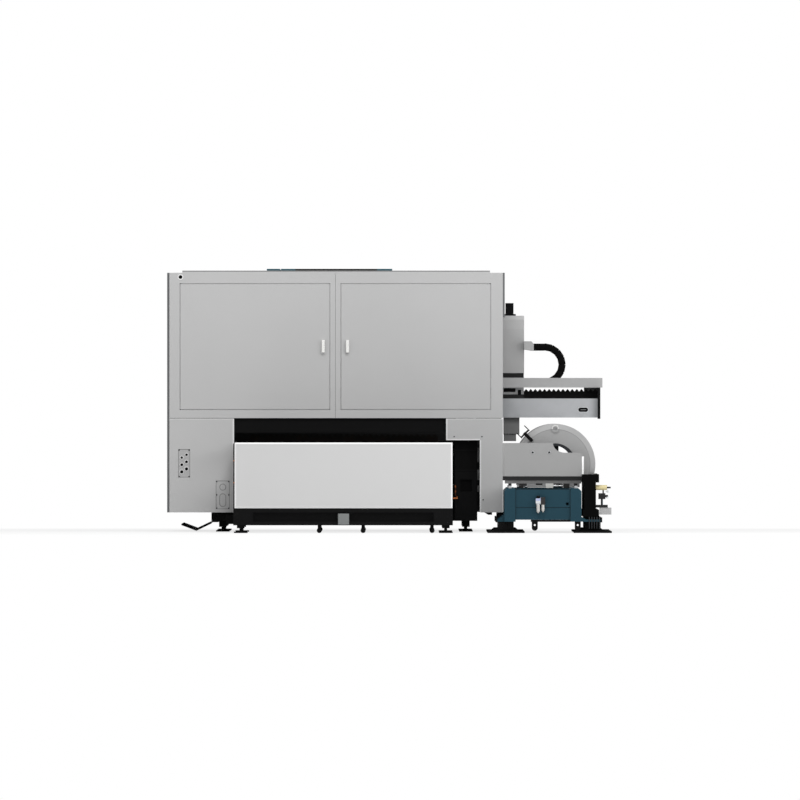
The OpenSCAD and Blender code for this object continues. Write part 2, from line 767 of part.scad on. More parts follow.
// Exchange station frame with pallet ledges
module station_frame() color(dark) {
  l = [st_x[0], st_x[0] + station_t];
  r = [st_x[1] - station_t, st_x[1]];
  base = [station_z0, station_base];
  front = [st_y[0] + panel_t / 2, st_y[0] + station_front - 5];
  back = [st_y[1] - station_back, st_y[1]];
  run = [front[1] + weld, back[0] - weld];
  post_w = 60;
  py = [for (i = [0:3]) st_y[0] + panel_t + i * (station_l - 90) / 3];
  arm_w = 60;
  shoe = [73, 71];
  difference() {
    block(st_x, front, base);
    block([st_x[0] + 165, st_x[1] - 159], [front[0] - over, front[0] + 40], [base[0] + 31, base[1] - 35]);
  }
  union() {
    block(st_x, back, base);
    block([st_x[0] - shoe[0], st_x[0] + over], back, [base[0], base[0] + shoe[1]]);
  }
  for (s = [l, r]) {
    block(s, run, base);
    for (y = py) block(s, [y, y + post_w], [station_base + weld, panel_top - 8]);
    for (i = [0:2], z = [upper_ledge, lower_ledge])
      block(s, [py[i] + post_w + weld, py[i + 1] - weld], [z - 50, z + 10]);
  }
  for (z = [upper_ledge, lower_ledge]) {
    block([l[1] + weld, pal_x[0] + ledge_grip], [st_y[0] + station_front, st_y[1]], [z - ledge_t, z]);
    block([pal_x[1] - ledge_grip, r[0] - weld], [st_y[0] + station_front, st_y[1]], [z - ledge_t, z]);
  }
  for (y = [st_y[0] + station_l / 3, st_y[0] + 2 * station_l / 3])
    block([l[1] + weld, r[0] - weld], about(y, 80), [station_z0, station_z0 + 80]);
  for (s = [-1, 1])
    block(about(st_cx + s * (pallet_w / 2 - 70), arm_w), [st_y[1] + weld, cross_y - cross_w / 2 - weld],
          [bed_z0, bed_z0 + 80]);
}

// End panel of the exchange station, folded from sheet
module station_end_panel() color("#d2d3d4")
  difference() {
    bevel_plate([st_x[0] + 11, st_x[1] - 3], [st_y[0], st_y[0] + panel_t], [station_base + 2 * weld, panel_top],
                panel_sheet);
    block([st_x[0] + station_t + 4, st_x[1] - station_t - 4], [st_y[0] + panel_sheet, st_y[0] + panel_t + over],
          [station_base + 40, panel_top - 30]);
  }

// Gearbox of the pallet drive
module drive_gearbox() color("#8d979c")
  bevel_plate(about(st_cx + 4, gearbox_w), [st_y[0], st_y[0] + panel_t / 2],
              [station_z0 + 5, station_z0 + 5 + gearbox_w], 5);

// Ball glides for moving the station
module transport_glides() color("#3a3d40")
  for (x = [st_cx - 197, st_cx + 166, st_x[1] - 172], y = [st_y[0] + 55, st_y[1] - 40])
    union() {
      translate([x, y, glide_r]) sphere(r = glide_r);
      rod_z(x, y, [glide_r, station_z0], glide_r - 8);
    }

// Pallet frame of two runners and five cross bars
module pallet_frame(y, z) {
  bar_w = 50;
  z0 = z + slide_gap;
  for (s = [[pal_x[0], pal_x[0] + runner_w], [pal_x[1] - runner_w, pal_x[1]]])
    block(s, y, [z0, z0 + runner_h]);
  for (c = [for (i = [0:4]) y[0] + bar_w / 2 + i * (pallet_l - bar_w) / 4])
    block([pal_x[0] + runner_w + weld, pal_x[1] - runner_w - weld], about(c, bar_w), [z0, z0 + cross_bar_h]);
}

// Toothed slats between a pallet's runners
module slats(y, z) {
  w = pallet_w - 2 * (runner_w + weld);
  n = floor(w / tooth_p);
  p = w / n;
  z0 = slide_gap + cross_bar_h + slide_gap;
  in = 100;
  for (c = [for (i = [0:slat_n - 1]) y[0] + in + i * (pallet_l - 2 * in) / (slat_n - 1)])
    translate([pal_x[0] + runner_w + weld, 0, z])
      prism_y(concat([[w, z0], [0, z0]],
                     [for (k = [0:n - 1]) each [[k * p, slat_h - tooth_h], [(k + 0.5) * p, slat_h]]],
                     [[w, slat_h - tooth_h]]), about(c, slat_t));
}

// Upper shuttle pallet
module upper_pallet() color("#24272a") pallet_frame(upper_y, upper_ledge);

// Slats of the upper pallet
module upper_slats() color("#3b3e41") slats(upper_y, upper_ledge);

// Lower shuttle pallet with its slats
module lower_pallet() color("#24272a") {
  pallet_frame(lower_y, lower_ledge);
  slats(lower_y, lower_ledge);
}

// Gantry beam with its carriage rails, saddles and the access slot at its end
module gantry_beam() color("#a3a8ad")
  let (slot_x = [beam_x[1] - 145, beam_x[1] - 100], slot_z = gz[0] + 66, slot_r = 18,
       depth = [gy[0] - over, gy[0] + 14]) difference() {
    union() {
      block(beam_x, gy, gz);
      for (z = [gz[0] + 30, gz[1] - 40])
        block([beam_x[0] + 40, beam_x[1] - 17], [gy[1] - over, car_y], [z, z + car_rail]);
      for (s = [bed_l, bed_r])
        block([s[0] + 12, s[1] - 8], [gy[1] - 20 - saddle_l, gy[1] - 20], [bed_top + rail_s + slide_gap, gz[0] + over]);
    }
    for (x = slot_x) rod_y(x, depth, slot_z, slot_r);
    block(slot_x, depth, about(slot_z, 2 * slot_r));
  }

// End caps of the gantry beam
module beam_end_caps() color(dark)
  for (x = [[beam_x[0] - cap_t, beam_x[0]], [beam_x[1], beam_x[1] + cap_t]])
    block(x, [gy[0] - 5, car_y + 40], [gz[0] - 11, tray_z]);

// Tray that carries the drag chain
module chain_tray() color("#a8abae")
  union() {
    block(tray_x, tray_y, [tray_z, tray_z + tray_t]);
    block(tray_x, [tray_y[0], tray_y[0] + tray_t], [tray_z, tray_z + tray_h]);
    block(tray_x, [tray_y[1] - tray_t, tray_y[1]], [tray_z, tray_z + tray_h - 21]);
    for (x = [tray_x[0] + 60, seam_x + 660, cx[1] - 60])
      block([x, x + 40], [tray_y[0] + 20, tray_y[1] - 20], [gz[1], tray_z + over]);
  }

// One link of the drag chain, l long, centred on its path
module link(l)
  union() {
    translate([-l / 2 + 4, chain_y[0], -link_h / 2]) cube([l - 8, link_w, link_h]);
    translate([-l / 2 - over, chain_y[0] + 8, -link_h / 2 + 6]) cube([l + 2 * over, link_w - 16, link_h - 12]);
  }

// Drag chain from the tray round its bend to the Z housing
module drag_chain() color("#1c1e20")
  union() {
    turns = 8;
    lead = (chain_x - chain_end) / 2;
    run_n = floor((chain_x - tray_x[0] - 90) / link_l);
    for (i = [0, 1]) translate([chain_end + (i + 0.5) * lead, 0, chain_top]) link(lead);
    for (a = [for (i = [0:turns - 1]) 90 - 180 * (i + 0.5) / turns])
      translate([chain_x + chain_r * cos(a), 0, chain_z + chain_r + chain_r * sin(a)])
        rotate([0, 90 - a, 0]) link(PI * chain_r / turns);
    for (i = [0:run_n - 1]) translate([chain_x - (i + 0.5) * link_l, 0, chain_z]) link(link_l);
  }

// Folded guard over the beam's rails, from x0 to x1
module folds(x0, x1) {
  n = round((x1 - x0) / fold_p);
  p = (x1 - x0) / n;
  top = tray_z - 11;
  skin = [car_y + 2, car_y + 22];
  intersection() {
    prism_y(concat([[x1, gz[0] + 30], [x0, gz[0] + 30]],
                   [for (k = [0:n - 1]) each [[x0 + k * p, top - fold_d], [x0 + (k + 0.5) * p, top]]],
                   [[x1, top - fold_d]]), [car_y, car_y + 40]);
    translate([0, 0, gz[0]]) linear_extrude(tray_z - gz[0])
      polygon(concat([[x1, skin[0]], [x0, skin[0]]],
                     [for (k = [0:n - 1]) each [[x0 + k * p, skin[1]], [x0 + (k + 0.5) * p, skin[1] + fold_d]]],
                     [[x1, skin[1]]]));
  }
}

// Bellows either side of the carriage
module beam_bellows() color("#202326") {
  play = 0.3;
  folds(plate_x[1] + play, beam_x[1]);
  folds(beam_x[0], plate_x[0] - play);
}

// Apron that hangs from the beam beside the cabin
module gantry_apron() color("#585a5c")
  let (x = [cx[1] + 7, cx[1] + 7 + apron_w]) union() {
    block(x, about(yg, beam_d / 2), [gz[0] - apron_h, gz[0]]);
    block([x[0] + 2, x[1] - 28], about(yg, beam_d / 2 - 20), [gz[0] - apron_h - 58, gz[0] - apron_h + over]);
  }

// Plate of the cross carriage
module carriage_plate() color("#3c3f42")
  block(plate_x, [car_y + slide_gap, car_y + slide_gap + car_t], [gz[0] + 30, z_z[1] - 111]);

// Housing of the Z axis with the chain bracket
module z_housing() color("#9a9da0")
  let (y = [car_y + slide_gap + car_t, car_y + slide_gap + car_t + z_d], out = chain_end - z_x[1] - 0.4, c = 21) union() {
    prism_x([[y[0], z_z[0]], [y[1], z_z[0]], [y[1], z_z[1]], [y[0] + z_bevel, z_z[1]], [y[0], z_z[1] - z_bevel]],
            z_x);
    translate([z_x[1] - over, 0, chain_top])
      prism_y([[0, -22], [out - 3 * c, -22], [out - c, -link_h / 2], [out, -link_h / 2], [out, link_h / 2],
               [out - c, link_h / 2 + c], [0, link_h / 2 + c]], [chain_y[0], y[0] + 35]);
  }

// Square motor of the Z axis on its flange
module z_motor() color(dark)
  let (x = z_cx - 13, y = car_y + 107, flange_t = 14) union() {
    block([z_cx - 65, z_cx + 40], about(y, 90), [z_z[1], z_z[1] + flange_t]);
    bevel_post(about(x, motor_w), about(y, motor_w), [z_z[1] + flange_t - over, z_z[1] + flange_t + motor_h], 6);
    block(about(x, motor_w / 2), [y + motor_w / 2 - over, y + motor_w / 2 + 10],
          about(z_z[1] + flange_t + 0.7 * motor_h, 30));
  }

// Cutting head with its nozzle
module cutting_head() color("#4a4e52")
  let (y = [car_y + slide_gap + car_t + slide_gap, car_y + 125], hy = car_y + 75, neck_z = nozzle_z + 83) union() {
    block(about(z_cx, 90), y, [neck_z + 81, z_z[0] - 8]);
    rod_z(z_cx, hy, [neck_z, neck_z + 82], head_r);
    translate([z_cx, hy, nozzle_z + 21]) cylinder(h = neck_z - nozzle_z - 20, r1 = 11, r2 = head_r - 8);
    translate([z_cx, hy, nozzle_z]) cylinder(h = 22, r1 = 5, r2 = 13);
  }

// Tube bed: two columns, end panels, floor and foot flares
module tube_bed() color(teal) {
  inner = [tcl[1] + weld, tcr[0] - weld];
  near = [tube_y[0] + 15, tube_y[0] + 15 + tube_panel_t];
  far = [tube_y[1] - 15 - tube_panel_t, tube_y[1] - 15];
  panel_z = [col_z + 16, tube_top - 3];
  seam_z = panel_z[0] + 101;
  c = [col_bevel, col_bevel / 4];
  flare_z = col_z + 13;
  floor_z = col_z + 34;
  for (s = [[tcl, c[0], c[1]], [tcr, c[1], c[0]]])
    prism_y([[s[0][0], col_z], [s[0][1], col_z], [s[0][1], tube_top - s[2]], [s[0][1] - s[2], tube_top],
             [s[0][0] + s[1], tube_top], [s[0][0], tube_top - s[1]]], tube_y);
  difference() {
    block(inner, near, panel_z);
    rod_y(inner[1] - 25, [near[0] - over, near[1] + over], seam_z + 31, 13);
    block([inner[0] - over, inner[1] + over], [near[0] - over, near[0] + 4], about(seam_z, 4));
  }
  block(inner, far, panel_z);
  block(inner, [near[1] + weld, far[0] - weld], [floor_z, floor_z + 12]);
  for (y = foot_y) {
    prism_y([[tcl[0] - weld, col_z + flare_l], [tcl[0] - flare_l, flare_z], [tcl[0] - flare_l, col_z],
             [tcl[0] - weld, col_z]], about(y, 140));
    prism_y([[tcr[1] + weld, guide_z - 4], [tcr[1] + weld, col_z], [tcr[1] + flare_r, col_z],
             [tcr[1] + flare_r, flare_z + 5], [tcr[1] + 40, flare_z + 5]], [y - 130, y - 70 - weld]);
  }
}

// Brackets that tie the tube bed to the cabin's sill
module tie_brackets() color(dark)
  for (y = [ny + tie_in, tube_y[1] - tie_in / 2 - tie_w])
    prism_y([[rx - 40, skirt_z - 44], [tcl[0] - weld, skirt_z - 44], [tcl[0] - weld, skirt_z - weld],
             [rx - 6, skirt_z - weld], [rx - 6, frame_bot - weld], [rx - 40, frame_bot - weld]],
            [y, y + tie_w]);

// Black guide beam on the outer side of the tube unit
module side_beam() color(dark)
  let (base = guide_z + 56, neck = sb_top - guide_head, web = [sb_x[0] + 15, sb_x[1] - 26])
    prism_y([[sb_x[0] + 2, guide_z], [sb_x[1], guide_z], [sb_x[1], base], [web[1], base], [web[1], neck],
             [sb_x[1], neck], [sb_x[1], sb_top], [sb_x[0], sb_top], [sb_x[0], neck], [web[0], neck],
             [web[0], base], [sb_x[0] + 2, base]], tube_y);

// Ribbed machine foot: floor plate p, wedge w, ribbed block b up to top
module tube_foot(p, w, b, y, top)
  let (plate_t = 17, wedge_t = 18, rib = 9, ribs = 7, long = 260) difference() {
    union() {
      block(p, about(y, long), [0, plate_t]);
      prism_y([[w[0], plate_t - over], [w[1], plate_t - over], [w[1] - 20, plate_t + wedge_t - over],
               [w[0] + 20, plate_t + wedge_t - over]], about(y, 140));
      block([b[0] + 6, b[1] - 6], about(y, 128), [plate_t + wedge_t - 2, top]);
      for (x = [for (i = [0:ribs - 1]) b[0] + i * (b[1] - b[0] - rib) / (ribs - 1)])
        block([x, x + rib], about(y, 140), [plate_t + wedge_t - 2, top]);
    }
    for (x = [p[0] + 25, p[1] - 25], s = [-100, 100])
      rod_z(x, y + s, [-over, plate_t + over], anchor_r);
  }

// Machine feet of the tube unit
module tube_feet() color(dark)
  for (y = foot_y) {
    tube_foot([tx - 141, tx + 167], [tx - 99, tx + 122], [tx - 49, tx - 49 + foot_w], y, col_z);
    tube_foot([sb_x[0] - 72, sb_x[0] + 244], [sb_x[0] - 46, sb_x[0] + 184],
              [sb_x[0] + 25, sb_x[0] + 25 + foot_w], y, guide_z);
  }

// Lifting lug with its eye, hung from z
module lug(x, y, z)
  let (r = 25, drop = 50) difference() {
    union() {
      block(about(x, 2 * r), y, [z - drop, z]);
      rod_y(x, y, z - drop, r);
    }
    rod_y(x, [y[0] - over, y[1] + over], z - drop + 22, 8);
  }

// Cross bar with lifting lugs under the tube bed's near end, and the plugs of its foot flares
module bed_lugs() color(dark) {
  y = [tube_y[0] + 18, tube_y[0] + 30];
  plug_t = 14;
  plug_z = [col_z - 6, col_z + 36];
  union() {
    block([tx + 218, tcr[0] - weld], [tube_y[0] + 15, tube_y[0] + 33], [col_z - 1, col_z + 16 - weld]);
    lug(tx + 251, y, col_z);
  }
  lug(mid(tcr) + 15, y, col_z);
  for (c = foot_y) {
    block([tcl[0] - flare_l - plug_t, tcl[0] - flare_l], about(c, 140), plug_z);
    block([tcr[1] + flare_r, tcr[1] + flare_r + plug_t], [c - 130, c - 70 - weld], plug_z);
  }
}

knob = [tx + 279, tube_y[0] - 15, col_z + 193];

// Air preparation unit on the tube bed's near panel: regulator, filter and their bowls
module air_unit() color("#dfe2e3")
  let (x = knob[0], y = knob[1], z = knob[2], side = 40, tip = 13) union() {
    block(about(x, side), about(y, side), [z - 42, z]);
    rod_z(x, y, [z - 109, z - 41], 16);
    translate([x, y, z - 109 - tip]) cylinder(h = tip + over, r1 = 6, r2 = 16);
    block([x + side / 2 - over, x + side / 2 + 38], about(y, side - 4), [z - 50, z + 10]);
    rod_z(x + side, y, [z - 101, z - 49], 14);
    translate([x + side, y, z - 101 - tip]) cylinder(h = tip + over, r1 = 5, r2 = 14);
    block([x - 12, x + 52], [y + side / 2 - 3, tube_y[0] + 15], [z - 37, z - 7]);
  }

// Knob of the air regulator
module regulator_knob() color("#1d1f21")
  rod_z(knob[0], knob[1], [knob[2] + 0.4, knob[2] + 22], 14);

// Air cylinder, valve, shelf and connection box beside the guide beam
module valve_set() color("#cfc79f") {
  x = sb_x[1] - 26;
  y = tube_y[0] + 55;
  shelf = [guide_z + 75, guide_z + 98];
  cyl_z = shelf[1] + 143;
  union() {
    rod_x([x, x + 92], y, cyl_z, 21);
    rod_x([x + 91, x + 122], y, cyl_z, 7);
    rod_z(x + 60, y, [cyl_z - 77, cyl_z - 17], 6);
    block([x + 20, x + 78], about(y, 32), [shelf[1] + 47, shelf[1] + 96]);
    rod_x([x + 77, x + 100], y, shelf[1] + 72, 10);
    rod_z(x + 48, y, [shelf[1] - over, shelf[1] + 48], 8);
    block([x, x + 98], about(y, 90), shelf);
  }
  block([x + 29, x + 128], about(y, 80), [shelf[0] - 58, shelf[0] - weld]);
}

// Ring of a chuck housing about its axis at y, resting on a plane at z
module chuck_ring(y, z)
  let (h = chuck_l / 2, side = tx + tube_w + 2, reach = chuck_r + 60) difference() {
    translate([ax, y, axis_z]) rotate([-90, 0, 0]) rotate_extrude()
      polygon([[bore_r, -h], [chuck_r - chuck_bevel, -h], [chuck_r, chuck_bevel - h], [chuck_r, h], [bore_r, h]]);
    block([ax - reach, side + over], about(y, 2 * chuck_l), [0, z]);
    block([side, ax + reach], about(y, 2 * chuck_l), [0, sb_top + slide_gap]);
  }

// Jaw turned by a degrees about the chuck's axis, its tip at radius r
module jaw_block(y, a, r)
  let (tip = 12, w = jaw_w / 2) translate([ax, y + chuck_l / 2, axis_z]) rotate([0, a, 0])
    translate([0, 0, r])
      prism_y([[-w, 20], [-tip, 0], [tip, 0], [w, 20], [w, jaw_h], [-w, jaw_h]], [20.4, 60]);

// Rotor of a chuck with four jaw guides on its far face
module rotor(y)
  let (r = bore_r - slide_gap, h = chuck_l / 2) union() {
    translate([ax, y, axis_z]) rotate([-90, 0, 0]) rotate_extrude()
      polygon([[bore_r - rotor_t, -h], [r, -h], [r, h], [bore_r - rotor_t, h]]);
    for (a = [0:90:270])
      translate([ax, y + h, axis_z]) rotate([0, a, 0])
        block(about(0, jaw_w + 6), [-2, 20], [75, bore_r - 6]);
  }

// Housing of the front chuck
module front_chuck_housing() color(steel) chuck_ring(front_y, tube_top);

// Rotor of the front chuck with its roller blocks
module front_rotor() color("#33373a")
  union() {
    rotor(front_y);
    translate([0, -over, 0]) for (a = [0:90:270]) jaw_block(front_y, a, jaw_open - 2);
  }

// Carriage of the feed chuck with its guide shoes
module chuck_carriage() color("#2b2e31")
  let (shoe_w = 26, shoe_l = 60, rail_top = tube_top + 20) union() {
    difference() {
      block([tx + 3, tx + tube_w - 1], about(feed_y, deck_l), deck_z);
      block(about(ax, 300), [feed_y - chuck_l / 2 - 20, feed_y + chuck_l / 2 + 80], [deck_z[0] - over, deck_z[1] + over]);
    }
    for (s = [tcl, tcr], y = [feed_y - deck_l / 2 + 60, feed_y + deck_l / 2 - 60])
      block(about(mid(s), shoe_w), about(y, shoe_l), [rail_top + slide_gap, deck_z[0] + over]);
  }

// Feed drive under the carriage
module feed_drive() color("#5c6064")
  let (y = feed_y - deck_l / 2 + 5, z = deck_z[0], low = 63, inner = [tcl[1] + 6, tcr[0] - 6]) union() {
    block([tx + 3, tx + tube_w - 1], [y, y + 23], [z - 26, z]);
    block([inner[0], inner[0] + 86], [y, y + 60], [z - 38, z - 25]);
    block([inner[0] + 24, inner[0] + 59], [y, y + 60], [z - low, z - 37]);
    block([ax - 80, ax - 17], [y, y + 55], [z - low, z - 25]);
    block([inner[1] - 50, inner[1]], [y, y + 60], [z - low, z - 25]);
  }

// Folded cover in front of the feed chuck, with a rounded cut-out for the tube's view
module chuck_cover() color("#a8abad")
  let (y = feed_y - deck_l / 2 - 30, z = deck_z[1], top = axis_z + cover_rise, l = tx + 3,
       r = tx + tube_w + 3, dip = [98, 80], step = 96, corner = 15, fold_z = [sb_top + 2, top - step - corner])
  difference() {
    union() {
      prism_y(concat([[l, z], [l, top]],
                     [for (p = arc([0, 0], 1, 180, 270, 8)) [ax + 78 + dip[0] * p[0], top + dip[1] * p[1]]],
                     arc([r - corner, top - step], corner, 90, 0, 4),
                     [[r, z]]), [y, y + cover_t]);
      block([l, r], [y, y + 80], [z, z + cover_t]);
      translate([r, y, fold_z[0]]) linear_extrude(fold_z[1] - fold_z[0]) union() {
        intersection() {
          translate([0, cover_fold]) difference() {
            circle(cover_fold);
            circle(cover_fold - cover_t);
          }
          translate([-over, 0]) square(cover_fold + over);
        }
        translate([cover_fold - cover_t, cover_fold - over]) square([cover_t, 40]);
      }
    }
    for (x = [ax - 188, ax - 51]) rod_y(x, [y - over, y + cover_t + over], top - 78, 5);
  }

// Housing of the feed chuck with its lifting eye
module chuck_housing() color(steel)
  let (face = feed_y - chuck_l / 2, z = axis_z + chuck_r - 38, eye = [31, 16]) union() {
    chuck_ring(feed_y, deck_z[1]);
    difference() {
      rod_y(ax, [face - 14, face + 2], z, eye[0]);
      rod_y(ax, [face - 14 - over, face + 2 + over], z, eye[1]);
    }
  }

// Air block with two arms on the feed chuck's rim
module chuck_air_block() color(dark)
  translate([ax, feed_y - chuck_l / 2, axis_z]) rotate([0, -45, 0]) union() {
    block([-14, 14], [-24, 0], [chuck_r - 63, chuck_r + 34]);
    block([-48, 48], [-24, -14], [chuck_r + 16, chuck_r + 30]);
    for (s = [-44, 44]) block([s - 4, s + 4], [-24, 0], [chuck_r + 14, chuck_r + 75]);
  }

// Rotor of the feed chuck
module chuck_rotor() color("#33373a") rotor(feed_y);

// Jaws of the feed chuck
module jaw_top() color("#1f2224") jaw_block(feed_y, 0, jaw_open);
module jaw_right() color("#1f2224") jaw_block(feed_y, 90, jaw_open);
module jaw_bottom() color("#1f2224") jaw_block(feed_y, 180, jaw_open);
module jaw_left() color("#1f2224") jaw_block(feed_y, 270, jaw_open);

bed_frame();
guide_rails();
levelling_feet();
side_gutter();
cabin_frame();
end_walls();
hinge_pins();
lower_panels();
entry_plates();
left_side_wall();
right_side_wall();
far_end_wall();
roof_panel();
roof_hood();
operator_panel();
air_line();
station_frame();
station_end_panel();
drive_gearbox();
transport_glides();
tube_bed();
tie_brackets();
side_beam();
tube_feet();
bed_lugs();
air_unit();
valve_set();
front_chuck_housing();
left_door();
left_door_handle();
right_door();
right_door_handle();
operator_door();
door_window();
stop_button();
gantry_beam();
beam_end_caps();
chain_tray();
drag_chain();
beam_bellows();
gantry_apron();
carriage_plate();
z_housing();
z_motor();
cutting_head();
upper_pallet();
upper_slats();
lower_pallet();
chuck_carriage();
feed_drive();
chuck_cover();
chuck_housing();
chuck_air_block();
chuck_rotor();
jaw_top();
jaw_right();
jaw_bottom();
jaw_left();
front_rotor();
regulator_knob();
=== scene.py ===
"""Sheet and tube laser cutter: finishes, folding covers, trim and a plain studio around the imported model."""

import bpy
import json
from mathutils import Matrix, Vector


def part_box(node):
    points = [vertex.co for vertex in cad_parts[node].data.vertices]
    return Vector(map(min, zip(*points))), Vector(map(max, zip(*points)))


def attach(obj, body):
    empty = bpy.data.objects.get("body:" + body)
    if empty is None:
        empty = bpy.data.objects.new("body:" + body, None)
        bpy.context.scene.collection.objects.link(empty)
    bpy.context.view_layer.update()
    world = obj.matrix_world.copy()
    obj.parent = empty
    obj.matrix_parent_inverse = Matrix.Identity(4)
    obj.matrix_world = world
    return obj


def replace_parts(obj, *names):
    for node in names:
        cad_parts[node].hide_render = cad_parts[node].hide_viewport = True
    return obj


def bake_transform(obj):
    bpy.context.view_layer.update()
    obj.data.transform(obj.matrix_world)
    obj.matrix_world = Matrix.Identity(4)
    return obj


bl_info = {
    "name": "Sheet and Tube Laser Cutter",
    "version": (1, 0, 0),
    "blender": (4, 5, 0),
    "location": "View3D > Sidebar > Laser Cutter",
    "description": "Dresses the laser cutting machine with finishes, folding covers and trim",
    "category": "Object",
}

import json
import math

import bmesh
import bpy
from mathutils import Matrix, Vector

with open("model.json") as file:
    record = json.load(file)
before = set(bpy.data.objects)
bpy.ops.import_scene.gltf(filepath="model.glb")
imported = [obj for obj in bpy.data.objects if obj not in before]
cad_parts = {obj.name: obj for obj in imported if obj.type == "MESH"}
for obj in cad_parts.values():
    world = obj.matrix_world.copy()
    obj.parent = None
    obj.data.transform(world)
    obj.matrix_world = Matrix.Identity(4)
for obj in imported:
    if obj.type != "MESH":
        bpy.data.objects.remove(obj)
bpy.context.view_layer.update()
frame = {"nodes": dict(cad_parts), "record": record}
SLOT_FINISHES = {}
# Scale of the grinding lines on the gantry beam
BEAM_GRAIN = (8.0, 500.0, 500.0)


def grey(level):
    """A neutral linear colour."""
    return (level, level, level)


def tone_property(name, description, default):
    """A linear colour that a user may change."""
    return bpy.props.FloatVectorProperty(
        name=name, description=description, default=default, size=3, min=0.0, max=1.0, subtype="COLOR"
    )


def grey_property(name, description, level):
    """A neutral colour that a user may change."""
    return tone_property(name, description, grey(level))


def length_property(name, description, default):
    """A length in metres that a user may change."""
    return bpy.props.FloatProperty(
        name=name, description=description, default=default, min=0.0, unit="LENGTH"
    )


def place_property(name, description, default):
    """A place along an axis, in metres, on either side of the origin."""
    return bpy.props.FloatProperty(name=name, description=description, default=default, unit="LENGTH")


def power_property(name, description, default):
    """A lamp's power in watts."""
    return bpy.props.FloatProperty(
        name=name, description=description, default=default, min=0.0, unit="POWER"
    )


class LaserCutterTones(bpy.types.PropertyGroup):
    """Colours of the machine's finishes."""

    cabin: grey_property("Cabin", "Powder coat of the cabin", 0.55)
    # Darker grey of the long sides, partly painted shade: it stands in for the shade seen on the cabin's side
    # edges.
    side: tone_property("Sides", "Powder coat of the cabin's long sides", (0.16, 0.165, 0.17))
    panel: grey_property("Station panel", "Powder coat of the station's end panel", 0.595)
    black: tone_property("Frame black", "Satin paint of the frames", (0.0045, 0.0045, 0.0047))
    teal: tone_property("Teal", "Paint of the tube bed", (0.0125, 0.047, 0.068))
    roof_teal: tone_property("Roof teal", "Paint of the roof hood", (0.03, 0.1, 0.13))
    silver: tone_property("Beam silver", "Ground face of the gantry beam", (0.455, 0.465, 0.48))
    cover: grey_property("Tray grey", "Paint of the chain tray", 0.505)
    chuck_cover: grey_property("Cover grey", "Paint of the chuck cover", 0.315)
    carriage: grey_property("Carriage grey", "Cross carriage plate", 0.57)
    housing: grey_property("Housing grey", "Paint of the cutting axis housing", 0.59)
    steel: tone_property("Ground steel", "Ground rails and pins", (0.5, 0.51, 0.52))
    chuck: grey_property("Chuck steel", "Turned chuck housings", 0.35)
    dark_steel: tone_property("Dark steel", "Phosphated steel pieces", (0.03, 0.032, 0.035))
    deck: tone_property("Deck", "Blackened deck of the feed chuck", (0.022, 0.022, 0.023))
    slat: tone_property("Slats", "Scaled steel of the slats", (0.014, 0.012, 0.011))
    apron: grey_property("Apron", "Rubber of the apron", 0.25)
    bellows: tone_property("Bellows", "Coated cloth of the bellows", (0.006, 0.0058, 0.0056))
    chain: tone_property("Chain", "Plastic of the drag chain", (0.004, 0.0039, 0.0037))
    motor: tone_property("Motor", "Satin paint of the motors", (0.006, 0.006, 0.0065))
    gear: tone_property("Gearbox", "Powder coat of the drive gearbox", (0.2, 0.21, 0.21))
    hose: tone_property("Hose", "Air line", (0.46, 0.14, 0.04))
    stop: tone_property("Stop red", "Stop button", (0.5, 0.02, 0.015))
    window: tone_property("Window", "Tinted laser window", (0.03, 0.16, 0.19))
    console: tone_property("Console", "Plastic of the operator panel", (0.02, 0.022, 0.025))
    beige: tone_property("Plated beige", "Air cylinder", (0.69, 0.6, 0.33))
    fitting: tone_property("Fittings", "White plastic of keys, rims and unions", (0.75, 0.77, 0.78))
    regulator: tone_property("Regulator", "Body of the air regulator", (0.62, 0.64, 0.66))
    regulator_band: tone_property("Regulator band", "Band of the air regulator", (0.42, 0.47, 0.66))
    chrome: tone_property("Handle", "Polished pull handles", (0.85, 0.85, 0.83))
    eye: tone_property("Lifting eye", "Paint of the chuck's lifting eye", (0.62, 0.62, 0.61))
    seal: grey_property("Door seal", "Edge seals of the end doors", 0.62)
    grommet: grey_property("Grommet", "Ring of the cable hole", 0.9)
    gland: grey_property("Glands", "Rings of the cable glands", 0.82)
    bracket: grey_property("Brackets", "Brackets at the bed's side", 0.08)
    end_plate: grey_property("End plate", "Plate behind the last folds", 0.05)


class LaserCutterTrim(bpy.types.PropertyGroup):
    """Sizes of the trim that is modelled here."""

    fold_pitch: length_property("Fold pitch", "Pitch of the bellows' folds", 0.040)
    fold_depth: length_property("Fold depth", "Depth of the bellows' folds", 0.022)
    link_pitch: length_property("Link pitch", "Pitch of the drag chain's links", 0.056)
    link_height: length_property("Link height", "Height of the drag chain's links", 0.060)
    seal_width: length_property("Seal width", "Width of a door's edge seal", 0.0046)
    seal_depth: length_property("Seal depth", "Depth of a door's edge seal", 0.010)
    screw_head: length_property("Screw head", "Diameter of a panel screw's head", 0.011)
    rail_bolt_pitch: length_property("Rail bolt pitch", "Pitch of the guide rails' bolts", 0.120)


class LaserCutterStudio(bpy.types.PropertyGroup):
    """Camera and light of the plain studio."""

    lens: bpy.props.FloatProperty(
        name="Lens", description="Focal length of the long lens", default=1700.0, unit="CAMERA"
    )
    view_width: length_property("View width", "Width of the view at the machine", 20 / 3)
    view_depth: place_property("View depth", "Place along Y where the view has its width", -2.0)
    view_x: place_property("View X", "Place of the camera across the machine", 0.097)
    view_z: length_property("View height", "Height of the camera", 1.1025)
    floor_size: length_property("Floor size", "Side of the pale floor", 20.0)
    sky: bpy.props.FloatProperty(name="Sky", description="Strength of the even light", default=0.64, min=0.0)
    key: power_property("Key light", "Power of the overhead soft light", 90.0)
    fill: power_property("Fill light", "Power of the soft light at the right", 170.0)
    front: power_property("Front light", "Power of the high light in front", 289.0)


